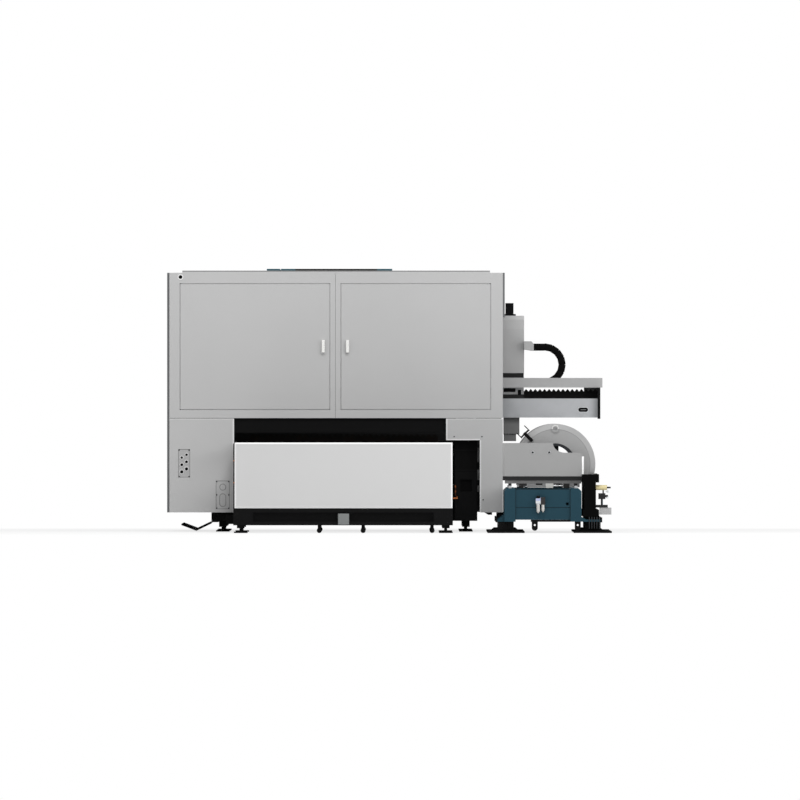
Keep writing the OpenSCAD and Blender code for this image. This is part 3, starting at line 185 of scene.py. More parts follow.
class Value:
    """A socket of a node tree. Arithmetic on it adds Math nodes."""

    def __init__(self, nodes, socket):
        self.nodes = nodes
        self.socket = socket

    def math(self, operation, first, second=0.0):
        """Adds a Math node."""
        return self.nodes.node("ShaderNodeMath", {"operation": operation}, {0: first, 1: second})

    def __add__(self, other):
        return self.math("ADD", self, other)

    def __radd__(self, other):
        return self.math("ADD", other, self)

    def __sub__(self, other):
        return self.math("SUBTRACT", self, other)

    def __rsub__(self, other):
        return self.math("SUBTRACT", other, self)

    def __mul__(self, other):
        return self.math("MULTIPLY", self, other)

    def __rmul__(self, other):
        return self.math("MULTIPLY", other, self)

    def root(self):
        """The square root."""
        return self.math("SQRT", self)

    def at_least(self, other):
        """The greater of two values."""
        return self.math("MAXIMUM", self, other)

    def folded(self, length):
        """Rises to a length and falls back to 0, over and over."""
        return self.math("PINGPONG", self, length)

    def output(self, name):
        """Another output of the same node."""
        return Value(self.nodes, self.socket.node.outputs[name])

    def above(self, edge, soft=0.0005):
        """1 where the value is above the edge, 0 below, with a soft step between."""
        return self.nodes.node(
            "ShaderNodeMapRange",
            {"interpolation_type": "SMOOTHSTEP", "clamp": True},
            {"Value": self, "From Min": edge - soft, "From Max": edge + soft},
        )

    def between(self, low, high, soft=0.0005):
        """1 where the value lies between two edges."""
        return self.above(low, soft) * (1 - self.above(high, soft))

    def near(self, middle, half, soft=0.0005):
        """1 on a line about a middle."""
        return self.between(middle - half, middle + half, soft)


def hypotenuse(across, up):
    """Distance from two values at right angles."""
    return (across * across + up * up).root()


class NodeTree:
    """Nodes of a material or of the world."""

    def __init__(self, tree):
        self.tree = tree

    def node(self, kind, settings, values, output=0):
        """Adds a node, sets it, feeds its sockets and gives one of its outputs."""
        made = self.tree.nodes.new(kind)
        for name, setting in settings.items():
            setattr(made, name, setting)
        for socket, value in values.items():
            self.feed(made.inputs[socket], value)
        return Value(self, made.outputs[output])

    def feed(self, socket, value):
        """Links a value to a socket, or sets the socket to a number or a colour."""
        if isinstance(value, Value):
            self.tree.links.new(value.socket, socket)
        elif socket.type == "RGBA" and len(value) == 3:
            socket.default_value = (*value, 1.0)
        else:
            socket.default_value = value


class Finish(NodeTree):
    """A procedural material on a piece's own coordinates, in metres."""

    def __init__(self, name, **fixed):
        self.material = bpy.data.materials.new(name)
        self.material.use_nodes = True
        super().__init__(self.material.node_tree)
        self.shader = self.tree.nodes["Principled BSDF"]
        self.drive(**fixed)
        self.place = self.node("ShaderNodeTexCoord", {}, {}, "Object")
        self.x = self.node("ShaderNodeSeparateXYZ", {}, {0: self.place})
        self.y = self.x.output("Y")
        self.z = self.x.output("Z")

    def drive(self, **ends):
        """Feeds the shader's sockets, named with underscores for spaces."""
        for name, value in ends.items():
            self.feed(self.shader.inputs[name.replace("_", " ")], value)
        return self.material

    def mix(self, factor, first, second):
        """Two colours mixed by a factor."""
        return self.node("ShaderNodeMix", {"data_type": "RGBA"}, {0: factor, 6: first, 7: second}, 2)

    def stretched(self, scale):
        """The piece's coordinates, scaled along each axis."""
        return self.node("ShaderNodeMapping", {}, {"Vector": self.place, "Scale": scale})

    def noise(self, scale, detail=2.0, place=None):
        """A noise on the piece's coordinates or on others."""
        values = {"Vector": place or self.place, "Scale": scale, "Detail": detail}
        return self.node("ShaderNodeTexNoise", {}, values, "Fac")

    def bump(self, height, depth, strength=0.5):
        """A normal from a height, with its depth in metres."""
        values = {"Height": height, "Distance": depth, "Strength": strength}
        return self.node("ShaderNodeBump", {}, values, "Normal")

    def radius(self, axis):
        """Distance from an axis along Y."""
        return hypotenuse(self.x - axis.x, self.z - axis.z)

    def inside(self, low, high, margin=0.0, soft=0.0005):
        """1 inside a plate across Y, short of its edges by a margin."""
        across = self.x.between(low.x + margin, high.x - margin, soft)
        return across * self.z.between(low.z + margin, high.z - margin, soft)

    def uneven(self, middle, spread, noise):
        """A number that a noise moves up and down."""
        return middle + spread * (noise - 0.5)

    def shades(self, noise, tone, dark, light):
        """A colour that a noise moves between two of its shades."""
        return self.mix(noise, shade(tone, dark), shade(tone, light))

    def grained(self, tone, drift_scale=1.4, spread=0.035):
        """A colour that drifts a little over large areas and has a fine grain."""
        drift = self.noise(drift_scale, 3.0)
        grain = self.noise(420.0)
        base = self.shades(drift, tone, 1 - spread, 1 + spread)
        return self.mix(grain * 0.25, base, shade(tone, 1 - 3 * spread))

    def powder(self, colour, rough=0.5, spread=0.12, scale=3.0):
        """Powder coat with an uneven gloss and a fine orange peel."""
        cloud = self.noise(scale, 3.0)
        peel = self.noise(520.0, 1.0)
        return self.drive(
            Base_Color=colour, Roughness=self.uneven(rough, spread, cloud), Normal=self.bump(peel, 0.00012)
        )

    def satin(self, colour, rough=0.55):
        """Satin paint with an uneven gloss and the marks of the roller."""
        cloud = self.noise(7.0, 4.0)
        rolled = self.noise(160.0, 3.0)
        return self.drive(
            Base_Color=colour,
            Roughness=self.uneven(rough, 0.18, cloud),
            Normal=self.bump(rolled, 0.0003, 0.4),
        )

    def moulded(self, colour, rough):
        """Moulded plastic or rubber with a spark-eroded grain."""
        grain = self.noise(1300.0, 2.0)
        return self.drive(
            Base_Color=colour, Roughness=self.uneven(rough, 0.2, grain), Normal=self.bump(grain, 0.00003, 0.4)
        )

    def ground(self, tone, rough, grain):
        """Grinds the surface along one direction and gives its colour."""
        lines = self.noise(1.0, 2.0, self.stretched(grain))
        cloud = self.noise(9.0, 3.0)
        self.drive(
            Roughness=self.uneven(rough, 0.2, lines) + 0.1 * (cloud - 0.5),
            Normal=self.bump(lines, 0.00006),
        )
        return self.shades(cloud, tone, 0.9, 1.08)


def shade(tone, share):
    """A colour made lighter or darker by a share."""
    return tuple(min(1.0, channel * share) for channel in tone)


def chuck_axis():
    """Middle of the feed chuck's rotor, on the tube's axis."""
    low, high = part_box("chuck_rotor")
    return (low + high) / 2


def cable_plates():
    """Lower and upper corners of the gland plate and of the knock-out plate."""
    low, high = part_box("entry_plates")
    gland_width, gland_height = 0.099, 0.237
    knock_width, knock_height = 0.116, 0.238
    gland_plate = (
        Vector((low.x, low.y, high.z - gland_height)),
        Vector((low.x + gland_width, low.y, high.z)),
    )
    knock_plate = (
        Vector((high.x - knock_width, low.y, low.z)),
        Vector((high.x, low.y, low.z + knock_height)),
    )
    return gland_plate, knock_plate


def powder_coat(name, tone, rough=0.5, gloss=0.35):
    """Semi-gloss powder coat."""
    finish = Finish(name, Specular_IOR_Level=gloss)
    return finish.powder(finish.grained(tone), rough)


def satin_paint(name, tone, rough=0.55, gloss=0.07):
    """Brushed or rolled satin paint on welded steel."""
    finish = Finish(name, Specular_IOR_Level=gloss)
    return finish.satin(finish.grained(tone, 2.5, 0.08), rough)


def ground_steel(name, tone, rough=0.3, grain=(900.0, 6.0, 900.0)):
    """Bright steel ground along one direction."""
    finish = Finish(name, Metallic=1.0)
    return finish.drive(Base_Color=finish.ground(tone, rough, grain))


def turned_steel(name, tone):
    """Faced chuck steel with fine turning rings about the chuck's axis and a dark step."""
    step_inner, step_outer = 0.286, 0.2885
    finish = Finish(name, Metallic=0.35, Specular_IOR_Level=0.3)
    reach = finish.radius(chuck_axis())
    rings = finish.noise(1.0, 1.0, finish.node("ShaderNodeCombineXYZ", {}, {0: reach * 700.0}))
    step = reach.between(step_inner, step_outer, 0.0008)
    base = finish.shades(finish.noise(5.0, 3.0), tone, 0.96, 1.04)
    return finish.drive(
        Base_Color=finish.mix(step * 0.6, base, shade(tone, 0.35)),
        Roughness=finish.uneven(0.42, 0.16, rings),
        Normal=finish.bump(rings, 0.00005),
    )


def dark_iron(name, tone, rough=0.5, rust=0.0):
    """Phosphated or scaled steel, mottled, with an optional brown scale."""
    scale_brown = (0.035, 0.018, 0.011)
    finish = Finish(name, Metallic=0.4, Specular_IOR_Level=0.2)
    mottle = finish.noise(38.0, 5.0)
    scale = finish.noise(14.0, 6.0).above(0.56, 0.12) * rust
    return finish.drive(
        Base_Color=finish.mix(scale, finish.shades(mottle, tone, 0.6, 1.5), scale_brown),
        Roughness=finish.uneven(rough, 0.25, mottle),
        Normal=finish.bump(finish.noise(240.0, 4.0), 0.0003),
    )


def moulded_plastic(name, tone, rough=0.45, gloss=0.25):
    """Moulded plastic of one colour."""
    finish = Finish(name, Specular_IOR_Level=gloss)
    return finish.moulded(finish.shades(finish.noise(12.0, 2.0), tone, 0.9, 1.1), rough)


def coated_fabric(name, tone):
    """Woven bellows cloth with a rubbery coat."""
    finish = Finish(name, Specular_IOR_Level=0.1, Sheen_Weight=0.05)
    warp, weft = (
        finish.node("ShaderNodeTexWave", {"bands_direction": axis}, {"Vector": finish.place, "Scale": 160.0})
        for axis in "XZ"
    )
    dust = finish.noise(20.0, 4.0)
    return finish.drive(
        Base_Color=finish.shades(dust, tone, 0.7, 1.3),
        Roughness=finish.uneven(0.62, 0.2, dust),
        Normal=finish.bump(warp * weft, 0.0002),
    )


def tinted_glass(name, tone):
    """Tinted laser glass that lets some of the inside show."""
    finish = Finish(name, Transmission_Weight=0.55, IOR=1.49)
    streak = finish.noise(4.0, 3.0)
    return finish.drive(Base_Color=finish.shades(streak, tone, 0.92, 1.08), Roughness=0.06 + 0.05 * streak)


def polished_metal(name, tone):
    """Polished plated handle with faint smears."""
    finish = Finish(name, Metallic=0.9)
    smear = finish.noise(60.0, 3.0)
    return finish.drive(
        Base_Color=finish.shades(smear, tone, 0.94, 1.04), Roughness=finish.uneven(0.2, 0.14, smear)
    )


def slot_finishes(tones):
    """One finish for each material slot of the record."""
    looks = {
        "cabin_grey": (powder_coat, tones.cabin),
        "side_grey": (powder_coat, tones.side),
        "panel_white": (powder_coat, tones.panel),
        "frame_black": (satin_paint, tones.black),
        "teal_paint": (satin_paint, tones.teal, 0.5, 0.2),
        "rail_steel": (ground_steel, tones.steel),
        "chuck_steel": (turned_steel, tones.chuck),
        "dark_steel": (dark_iron, tones.dark_steel),
        "handle_cream": (polished_metal, tones.chrome),
        "beam_silver": (ground_steel, tones.silver, 0.42, BEAM_GRAIN),
        "cover_grey": (powder_coat, tones.cover),
        "chain_black": (moulded_plastic, tones.chain, 0.6, 0.04),
        "bellows_black": (coated_fabric, tones.bellows),
        "apron_grey": (moulded_plastic, tones.apron, 0.6, 0.15),
        "motor_black": (satin_paint, tones.motor, 0.5, 0.07),
        "slat_steel": (dark_iron, tones.slat, 0.6, 0.25),
        "window_glass": (tinted_glass, tones.window),
        "stop_red": (moulded_plastic, tones.stop, 0.3, 0.4),
        "hose_orange": (moulded_plastic, tones.hose, 0.4, 0.3),
        "gear_grey": (powder_coat, tones.gear),
        "air_white": (moulded_plastic, tones.fitting, 0.3, 0.4),
        "valve_beige": (powder_coat, tones.beige, 0.4),
        "panel_black": (moulded_plastic, tones.console, 0.35, 0.3),
    }
    return {slot: maker(slot, *look) for slot, (maker, *look) in looks.items()}


def hood_finish(tones):
    """Teal roof hood with its black cable channel in the middle."""
    low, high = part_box("roof_hood")
    channel_left = low.x + 0.24
    channel_right = high.x - 0.125
    finish = Finish("roof_hood_paint", Specular_IOR_Level=0.2)
    channel = finish.x.between(channel_left, channel_right, 0.001)
    return finish.drive(
        Base_Color=finish.mix(channel, finish.grained(tones.roof_teal, 2.0, 0.06), tones.black),
        Roughness=finish.uneven(0.5, 0.15, finish.noise(6.0, 3.0)),
        Normal=finish.bump(finish.noise(300.0), 0.0002),
    )


def housing_finish(tones):
    """Cutting axis housing with a paler chain bracket and a joint line under its cap."""
    low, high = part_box("z_housing")
    joint = high.z - 0.1645
    bracket_start = low.x + 0.222
    finish = Finish("housing_paint", Specular_IOR_Level=0.3)
    line = finish.z.near(joint, 0.0015, 0.0008)
    bracket = finish.x.above(bracket_start, 0.001)
    paint = finish.mix(bracket, finish.grained(tones.housing), shade(tones.cabin, 0.95))
    return finish.powder(finish.mix(line * 0.35, paint, tones.black), 0.48, 0.12, 4.0)


def carriage_finish(tones):
    """Cross carriage plate: pale machined head with a black band, over a black lower part."""
    beam_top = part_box("gantry_beam")[1].z
    head_bottom = beam_top + 0.035
    band_bottom = beam_top + 0.175
    band_top = beam_top + 0.214
    finish = Finish("carriage_plate_finish", Specular_IOR_Level=0.3)
    black = 1 - finish.z.above(head_bottom, 0.001)
    black = black + finish.z.between(band_bottom, band_top, 0.001)
    milled = finish.noise(1.0, 2.0, finish.stretched((12.0, 400.0, 400.0)))
    return finish.drive(
        Base_Color=finish.mix(black, finish.grained(tones.carriage), tones.black),
        Roughness=finish.uneven(0.42, 0.15, milled),
        Normal=finish.bump(milled, 0.00008),
    )


def air_unit_finish(tones):
    """Air preparation unit: white regulator with a blue band, black filter body, metal bowls."""
    low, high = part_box("air_unit")
    bowl_top = high.z - 0.062
    band_bottom = high.z - 0.03
    filter_start = low.x + 0.0405
    filter_black = (0.012, 0.01, 0.01)
    bowl_metal = (0.55, 0.54, 0.52)
    finish = Finish("air_unit_finish", Specular_IOR_Level=0.4)
    bowl = 1 - finish.z.above(bowl_top, 0.001)
    filter_side = finish.x.above(filter_start, 0.0006)
    band = finish.z.above(band_bottom, 0.001) * (1 - filter_side)
    body = finish.mix(filter_side, tones.regulator, filter_black)
    smear = finish.noise(90.0, 3.0)
    return finish.drive(
        Base_Color=finish.mix(bowl, finish.mix(band, body, tones.regulator_band), bowl_metal),
        Metallic=bowl * 0.8,
        Roughness=finish.uneven(0.32, 0.12, smear),
        Normal=finish.bump(smear, 0.0001),
    )


def valve_finish(tones):
    """Plated air cylinder, black valve and shelf, pale connection box."""
    low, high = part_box("valve_set")
    box_top = low.z + 0.0585
    cylinder_bottom = high.z - 0.044
    cylinder_end = low.x + 0.0905
    finish = Finish("valve_set_finish", Specular_IOR_Level=0.3)
    box_part = 1 - finish.z.above(box_top, 0.0006)
    cylinder = finish.z.above(cylinder_bottom, 0.001) * (1 - finish.x.above(cylinder_end, 0.001))
    speck = finish.noise(70.0, 3.0)
    box_coat = finish.mix(speck, grey(0.36), grey(0.42))
    return finish.drive(
        Base_Color=finish.mix(box_part, finish.mix(cylinder, tones.black, tones.beige), box_coat),
        Roughness=finish.uneven(0.4, 0.16, speck),
        Normal=finish.bump(finish.noise(500.0), 0.0001),
    )


def feed_drive_finish(tones):
    """Feed drive under the carriage: grey cross plate, white motor block, black end blocks."""
    plate_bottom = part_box("feed_drive")[1].z - 0.0255
    motor_left = chuck_axis().x - 0.0805
    motor_right = chuck_axis().x - 0.0165
    motor_white = (0.62, 0.62, 0.6)
    finish = Finish("feed_drive_finish", Specular_IOR_Level=0.3)
    under = 1 - finish.z.above(plate_bottom, 0.0006)
    motor = finish.x.between(motor_left, motor_right, 0.0006)
    wear = finish.noise(45.0, 3.0)
    plate = finish.mix(wear, grey(0.15), grey(0.21))
    return finish.drive(
        Base_Color=finish.mix(under, plate, finish.mix(motor, tones.black, motor_white)),
        Roughness=finish.uneven(0.42, 0.2, wear),
        Normal=finish.bump(finish.noise(400.0), 0.0001),
    )


def deck_finish(tones):
    """Carriage deck of the feed chuck, blackened, with a worn upper edge."""
    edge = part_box("chuck_carriage")[1].z - 0.006
    finish = Finish("deck_finish", Specular_IOR_Level=0.25)
    worn = finish.z.above(edge, 0.004) * finish.noise(30.0, 4.0)
    return finish.drive(
        Base_Color=finish.mix(worn * 0.5, finish.grained(tones.deck, 6.0, 0.1), grey(0.1)),
        Roughness=finish.uneven(0.45, 0.2, finish.noise(25.0, 3.0)),
        Normal=finish.bump(finish.noise(300.0, 3.0), 0.0002),
    )


def panel_highlight_finish(tones):
    """Station panel with a painted highlight round its folded border, paler than its field."""
    low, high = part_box("station_end_panel")
    border = 0.0125
    finish = Finish("station_panel_coat_painted_highlight", Specular_IOR_Level=0.35)
    # Painted highlight: the border within 12.5 mm of the panel's edges is drawn near white, as a lit bevel.
    field = finish.inside(low, high, border, 0.001)
    return finish.powder(finish.mix(field, grey(0.93), finish.grained(tones.panel, 1.0, 0.015)), 0.48, 0.1)


def lower_panel_finish(tones):
    """Lower walls with painted highlights along the folded edges round the table opening and under the seam.
    """
    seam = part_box("lower_panels")[1].z - 0.005
    bed_low, bed_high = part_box("bed_frame")
    fold = 0.011
    table_left = bed_low.x + 0.19
    table_right = bed_high.x - 0.2615
    bed_right = bed_high.x + 0.021
    finish = Finish("lower_panel_coat_painted_highlight", Specular_IOR_Level=0.35)
    over_bed = finish.z.above(bed_high.z, 0.001)
    edges = finish.x.near(table_left, fold)
    edges = edges + finish.x.near(table_right, fold) * over_bed
    edges = edges + finish.x.near(bed_right, fold) * (1 - over_bed)
    edges = edges + finish.z.near(bed_high.z, fold) * finish.x.between(table_right, bed_right)
    edges = edges + finish.z.above(seam)
    # Painted highlight: the folded edges are drawn half again paler than the coat, as if lit.
    return finish.powder(finish.mix(edges, finish.grained(tones.cabin), shade(tones.cabin, 1.5)))


def entry_plate_finish(tones):
    """Cable plates with darker rims, and the pressed outlines of a round and a long knock-out."""
    gland_plate, (low, high) = cable_plates()
    line = 0.0045
    rim_inner, rim_outer = 0.0225, 0.0285
    centre = (low + high) / 2
    round_middle = Vector((centre.x, centre.y, low.z + 0.184))
    long_bottom, long_top = low.z + 0.046, low.z + 0.103
    finish = Finish("entry_plate_coat", Specular_IOR_Level=0.35)
    gland_field = finish.inside(*gland_plate, line)
    knock_field = finish.inside(low, high, line)
    past_ends = (finish.z - long_top).at_least(0.0) + (long_bottom - finish.z).at_least(0.0)
    rims = finish.radius(round_middle).between(rim_inner, rim_outer)
    rims = rims + hypotenuse(finish.x - centre.x, past_ends).between(rim_inner, rim_outer)
    plates = finish.shades(gland_field, tones.cabin, 0.98, 0.86)
    coat = finish.mix(gland_field + knock_field, shade(tones.cabin, 0.45), plates)
    return finish.powder(finish.mix(rims * knock_field * 0.7, coat, shade(tones.cabin, 0.35)))


def far_wall_finish(tones):
    """Far end wall: powder coat outside, painted shade inside."""
    low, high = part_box("far_end_wall")
    finish = Finish("far_wall_coat_painted_shade", Specular_IOR_Level=0.3)
    outside = finish.y.above((low.y + high.y) / 2)
    # Painted shade: the inner half of the wall is drawn frame black, as the shade inside the cabin.
    return finish.powder(finish.mix(outside, tones.black, finish.grained(tones.cabin)), 0.52)


def roof_finish(tones):
    """Roof panel: cabin coat below, darker top sheet."""
    sheet_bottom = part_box("roof_panel")[1].z - 0.0095
    finish = Finish("roof_coat", Specular_IOR_Level=0.3)
    sheet = finish.z.above(sheet_bottom, 0.0008)
    return finish.powder(finish.mix(sheet, finish.grained(tones.cabin), shade(tones.cabin, 0.48)), 0.52)


def cover_finish(tones):
    """Chuck cover with a painted highlight along its folded right edge."""
    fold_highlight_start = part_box("chuck_cover")[1].x - 0.0165
    finish = Finish("chuck_cover_coat_painted_highlight", Specular_IOR_Level=0.35)
    fold = finish.x.above(fold_highlight_start, 0.0006)
    # Painted highlight: the rounded fold at the right edge is drawn near white, as if catching the light.
    return finish.powder(finish.mix(fold, finish.grained(tones.chuck_cover), grey(0.95)))


def tube_bed_finish(tones):
    """Tube bed paint with the dark seams of its near end."""
    low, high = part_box("tube_bed")
    near_end = low.y + 0.03
    left = low.x + 0.1495
    right = high.x - 0.2495
    lower_seam = low.z + 0.117
    upper_seam = high.z - 0.008
    finish = Finish("tube_bed_paint", Specular_IOR_Level=0.15)
    seams = finish.z.near(lower_seam, 0.0025) + finish.z.near(upper_seam, 0.004)
    seams = seams * finish.x.between(left + 0.0005, right - 0.0005)
    seams = seams + finish.x.near(left, 0.0015) + finish.x.near(right, 0.0015)
    seams = seams * (1 - finish.y.above(near_end)) * 0.7
    return finish.satin(finish.mix(seams, finish.grained(tones.teal, 2.5, 0.06), tones.black), 0.5)


def foot_finish(tones):
    """Black floor feet with the pale edges of their packing plates."""
    low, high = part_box("tube_feet")
    pitch = 0.0085
    plates_bottom = low.z + 0.035
    edge_grey = (0.035, 0.034, 0.033)
    finish = Finish("foot_paint", Specular_IOR_Level=0.06)
    edges = (finish.x - low.x).folded(pitch).above(0.8 * pitch, 0.0008)
    edges = edges * finish.z.between(plates_bottom, high.z + 0.001, 0.001) * 0.7
    return finish.satin(finish.mix(edges, finish.grained(tones.black, 3.0, 0.08), edge_grey))


def beam_finish(tones):
    """Ground beam with painted shade that darkens its face towards the capped end."""
    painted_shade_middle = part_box("gantry_beam")[1].x - 0.03
    painted_shade_half = 0.055
    finish = Finish("beam_face_painted_shade", Metallic=1.0)
    face = finish.ground(tones.silver, 0.42, BEAM_GRAIN)
    # Painted shade: the face darkens to a third of its tone over the last centimetres before the end cap.
    end = finish.x.above(painted_shade_middle, painted_shade_half)
    return finish.drive(Base_Color=finish.mix(end, face, shade(tones.silver, 0.33)))


def bed_finish(tones):
    """Black bed with the darker field, the seams and the painted shade of a square recess at its near end."""
    low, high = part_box("bed_frame")
    face_depth = 0.002
    near_end_depth = 0.021
    recess_low = Vector((high.x - 0.1435, low.y, low.z + 0.243))
    recess_high = Vector((high.x - 0.0435, low.y, low.z + 0.343))
    field_bottom = high.z - 0.266
    upper_seam = high.z - 0.085
    lower_seam = high.z - 0.2515
    half_seam = 0.0035
    finish = Finish("bed_paint_and_recess_shade", Specular_IOR_Level=0.07)
    near = 1 - finish.y.above(low.y + near_end_depth)
    # Painted shade: inside the square recess of the near end, behind its front face, the paint is nearly black
    # as the recess's shade.
    painted_recess_shade = finish.inside(recess_low, recess_high) * finish.y.above(low.y + face_depth) * near
    field = finish.z.above(field_bottom, 0.001) * near
    seams = finish.z.near(upper_seam, half_seam) + finish.z.near(lower_seam, half_seam)
    paint = finish.mix(field, finish.grained(shade(tones.black, 1.3), 2.5, 0.08), shade(tones.black, 0.7))
    paint = finish.mix(seams * near, paint, shade(tones.black, 1.7))
    return finish.satin(finish.mix(painted_recess_shade, paint, shade(tones.black, 0.2)))


def air_line_finish(tones):
    """Air line: bright elbow at its foot, darker banded riser."""
    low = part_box("air_line")[0]
    elbow = 0.013
    band_pitch, band_start = 0.021, 0.013
    finish = Finish("air_line_plastic", Specular_IOR_Level=0.3)
    height = finish.z - low.z
    bands = height.folded(band_pitch).above(band_start, 0.001)
    riser = finish.shades(bands, tones.hose, 0.12, 0.6)
    return finish.moulded(finish.mix(height.above(elbow, 0.001), shade(tones.hose, 1.7), riser), 0.4)


def apron_finish(tones):
    """Rubber apron with a dashed clamping line low down."""
    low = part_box("gantry_apron")[0]
    line = low.z + 0.059
    dash_pitch, dash_start = 0.011, 0.003
    finish = Finish("apron_rubber", Specular_IOR_Level=0.15)
    dashes = (finish.x - low.x).folded(dash_pitch).above(dash_start, 0.0008)
    dashes = dashes * finish.z.near(line, 0.003, 0.0006)
    rubber = finish.shades(finish.noise(12.0, 2.0), tones.apron, 0.93, 1.07)
    return finish.moulded(finish.mix(dashes * 0.8, rubber, tones.black), 0.6)


NODE_FINISHES = {
    "roof_hood": hood_finish,
    "z_housing": housing_finish,
    "carriage_plate": carriage_finish,
    "air_unit": air_unit_finish,
    "valve_set": valve_finish,
    "feed_drive": feed_drive_finish,
    "chuck_carriage": deck_finish,
    "station_end_panel": panel_highlight_finish,
    "lower_panels": lower_panel_finish,
    "far_end_wall": far_wall_finish,
    "entry_plates": entry_plate_finish,
    "roof_panel": roof_finish,
    "chuck_cover": cover_finish,
    "tube_bed": tube_bed_finish,
    "gantry_apron": apron_finish,
    "air_line": air_line_finish,
    "tube_feet": foot_finish,
    "bed_frame": bed_finish,
    "gantry_beam": beam_finish,
}


def assign(node, material):
    """Gives a CAD node one material."""
    slots = frame["nodes"][node].data.materials
    slots.clear()
    slots.append(material)


class LASER_OT_finishes(bpy.types.Operator):
    """Gives every solid of the machine its finish"""

    bl_idname = "laser_cutter.finishes"
    bl_label = "Finishes"

    def execute(self, context):
        tones = context.scene.laser_tones
        SLOT_FINISHES.update(slot_finishes(tones))
        for subpart in frame["record"]["subparts"]:
            assign(subpart["node"], SLOT_FINISHES[subpart["material_slot"]])
        for node, finish in NODE_FINISHES.items():
            assign(node, finish(tones))
        assign("transport_glides", SLOT_FINISHES["frame_black"])
        assign("side_beam", satin_paint("side_beam_black", shade(tones.black, 0.5), 0.65, 0.03))
        return {"FINISHED"}


def round_edges(bm, edges, offset, segments=2):
    """Rounds edges with an even bevel."""
    bmesh.ops.bevel(
        bm, geom=list(edges), offset=offset, segments=segments, profile=0.5, affect="EDGES", material=-1
    )


def add_box(bm, low, high, edge=0.0):
    """A box between two corners, with its edges rounded."""
    centre = (Vector(low) + Vector(high)) / 2
    size = Vector(high) - Vector(low)
    matrix = Matrix.Translation(centre) @ Matrix.Diagonal((*size, 1.0))
    verts = bmesh.ops.create_cube(bm, size=1.0, matrix=matrix)["verts"]
    if edge > 0:
        round_edges(bm, {e for v in verts for e in v.link_edges}, edge)
    return verts


def add_oblong(bm, low, high, radius):
    """A plate across Y whose four corners are rounded."""
    verts = add_box(bm, low, high)
    half_depth = abs(high[1] - low[1]) / 2
    edges = {e for v in verts for e in v.link_edges}
    corners = [e for e in edges if abs(e.verts[0].co.y - e.verts[1].co.y) > half_depth]
    round_edges(bm, corners, radius, 6)


def axis_turn(axis):
    """Turn that lays a shape made along Z along another axis."""
    if axis == "X":
        return Matrix.Rotation(math.pi / 2, 4, "Y")
    if axis == "Y":
        return Matrix.Rotation(-math.pi / 2, 4, "X")
    return Matrix.Identity(4)


def add_rod(bm, centre, radius, length, axis, segments=24, edge=0.0):
    """A round rod along an axis, with its end edges rounded."""
    matrix = Matrix.Translation(centre) @ axis_turn(axis)
    verts = bmesh.ops.create_cone(
        bm, cap_ends=True, segments=segments, radius1=radius, radius2=radius, depth=length, matrix=matrix
    )["verts"]
    if edge > 0:
        edges = {e for v in verts for e in v.link_edges}
        round_edges(bm, [e for e in edges if any(len(f.verts) > 4 for f in e.link_faces)], edge)


def add_ring(bm, centre, inner, outer, length, axis, segments=32, edge=0.001):
    """A round ring along an axis, spun from its bevelled section."""
    half = length / 2
    corners = [(inner, -half), (outer - edge, -half), (outer, edge - half), (outer, half), (inner, half)]
    section = [bm.verts.new((reach, 0.0, height)) for reach, height in corners]
    loop = [bm.edges.new((section[i - 1], section[i])) for i in range(len(section))]
    bmesh.ops.spin(
        bm, geom=section + loop, cent=(0, 0, 0), axis=(0, 0, 1), angle=2 * math.pi, steps=segments,
        use_merge=True, use_duplicate=False,
    )
    verts = list(connected(loop[0].verts[0]))
    bmesh.ops.transform(bm, matrix=Matrix.Translation(centre) @ axis_turn(axis), verts=verts)


def connected(start):
    """Every vertex that edges join to the first."""
    found = {start}
    waiting = [start]
    while waiting:
        vert = waiting.pop()
        for e in vert.link_edges:
            other = e.other_vert(vert)
            if other not in found:
                found.add(other)
                waiting.append(other)
    return found


def add_screw(bm, place, head, facing=-1.0):
    """A pan head screw on a wall across Y, with a hex recess."""
    height = head * 0.35
    rise = Vector((0, facing * height / 2, 0))
    add_rod(bm, Vector(place) + rise, head / 2, height, "Y", 16, head * 0.12)
    rim = Vector((0, facing * height, 0))
    add_rod(bm, Vector(place) + rim, head * 0.22, height * 0.12, "Y", 6)


def make_piece(bm, name, slot, body=None, material=None, smooth_angle=40.0):
    """Turns a bmesh into a piece that rides on a body, in its slot's finish or in one of its own."""
    bmesh.ops.remove_doubles(bm, verts=bm.verts, dist=1e-6)
    bmesh.ops.recalc_face_normals(bm, faces=bm.faces)
    mesh = bpy.data.meshes.new(name)
    bm.to_mesh(mesh)
    bm.free()
    mesh.shade_smooth()
    mesh.set_sharp_from_angle(angle=math.radians(smooth_angle))
    piece = bpy.data.objects.new(name, mesh)
    bpy.context.scene.collection.objects.link(piece)
    mesh.materials.append(material or SLOT_FINISHES[slot])
    if body:
        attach(piece, body)
    return piece


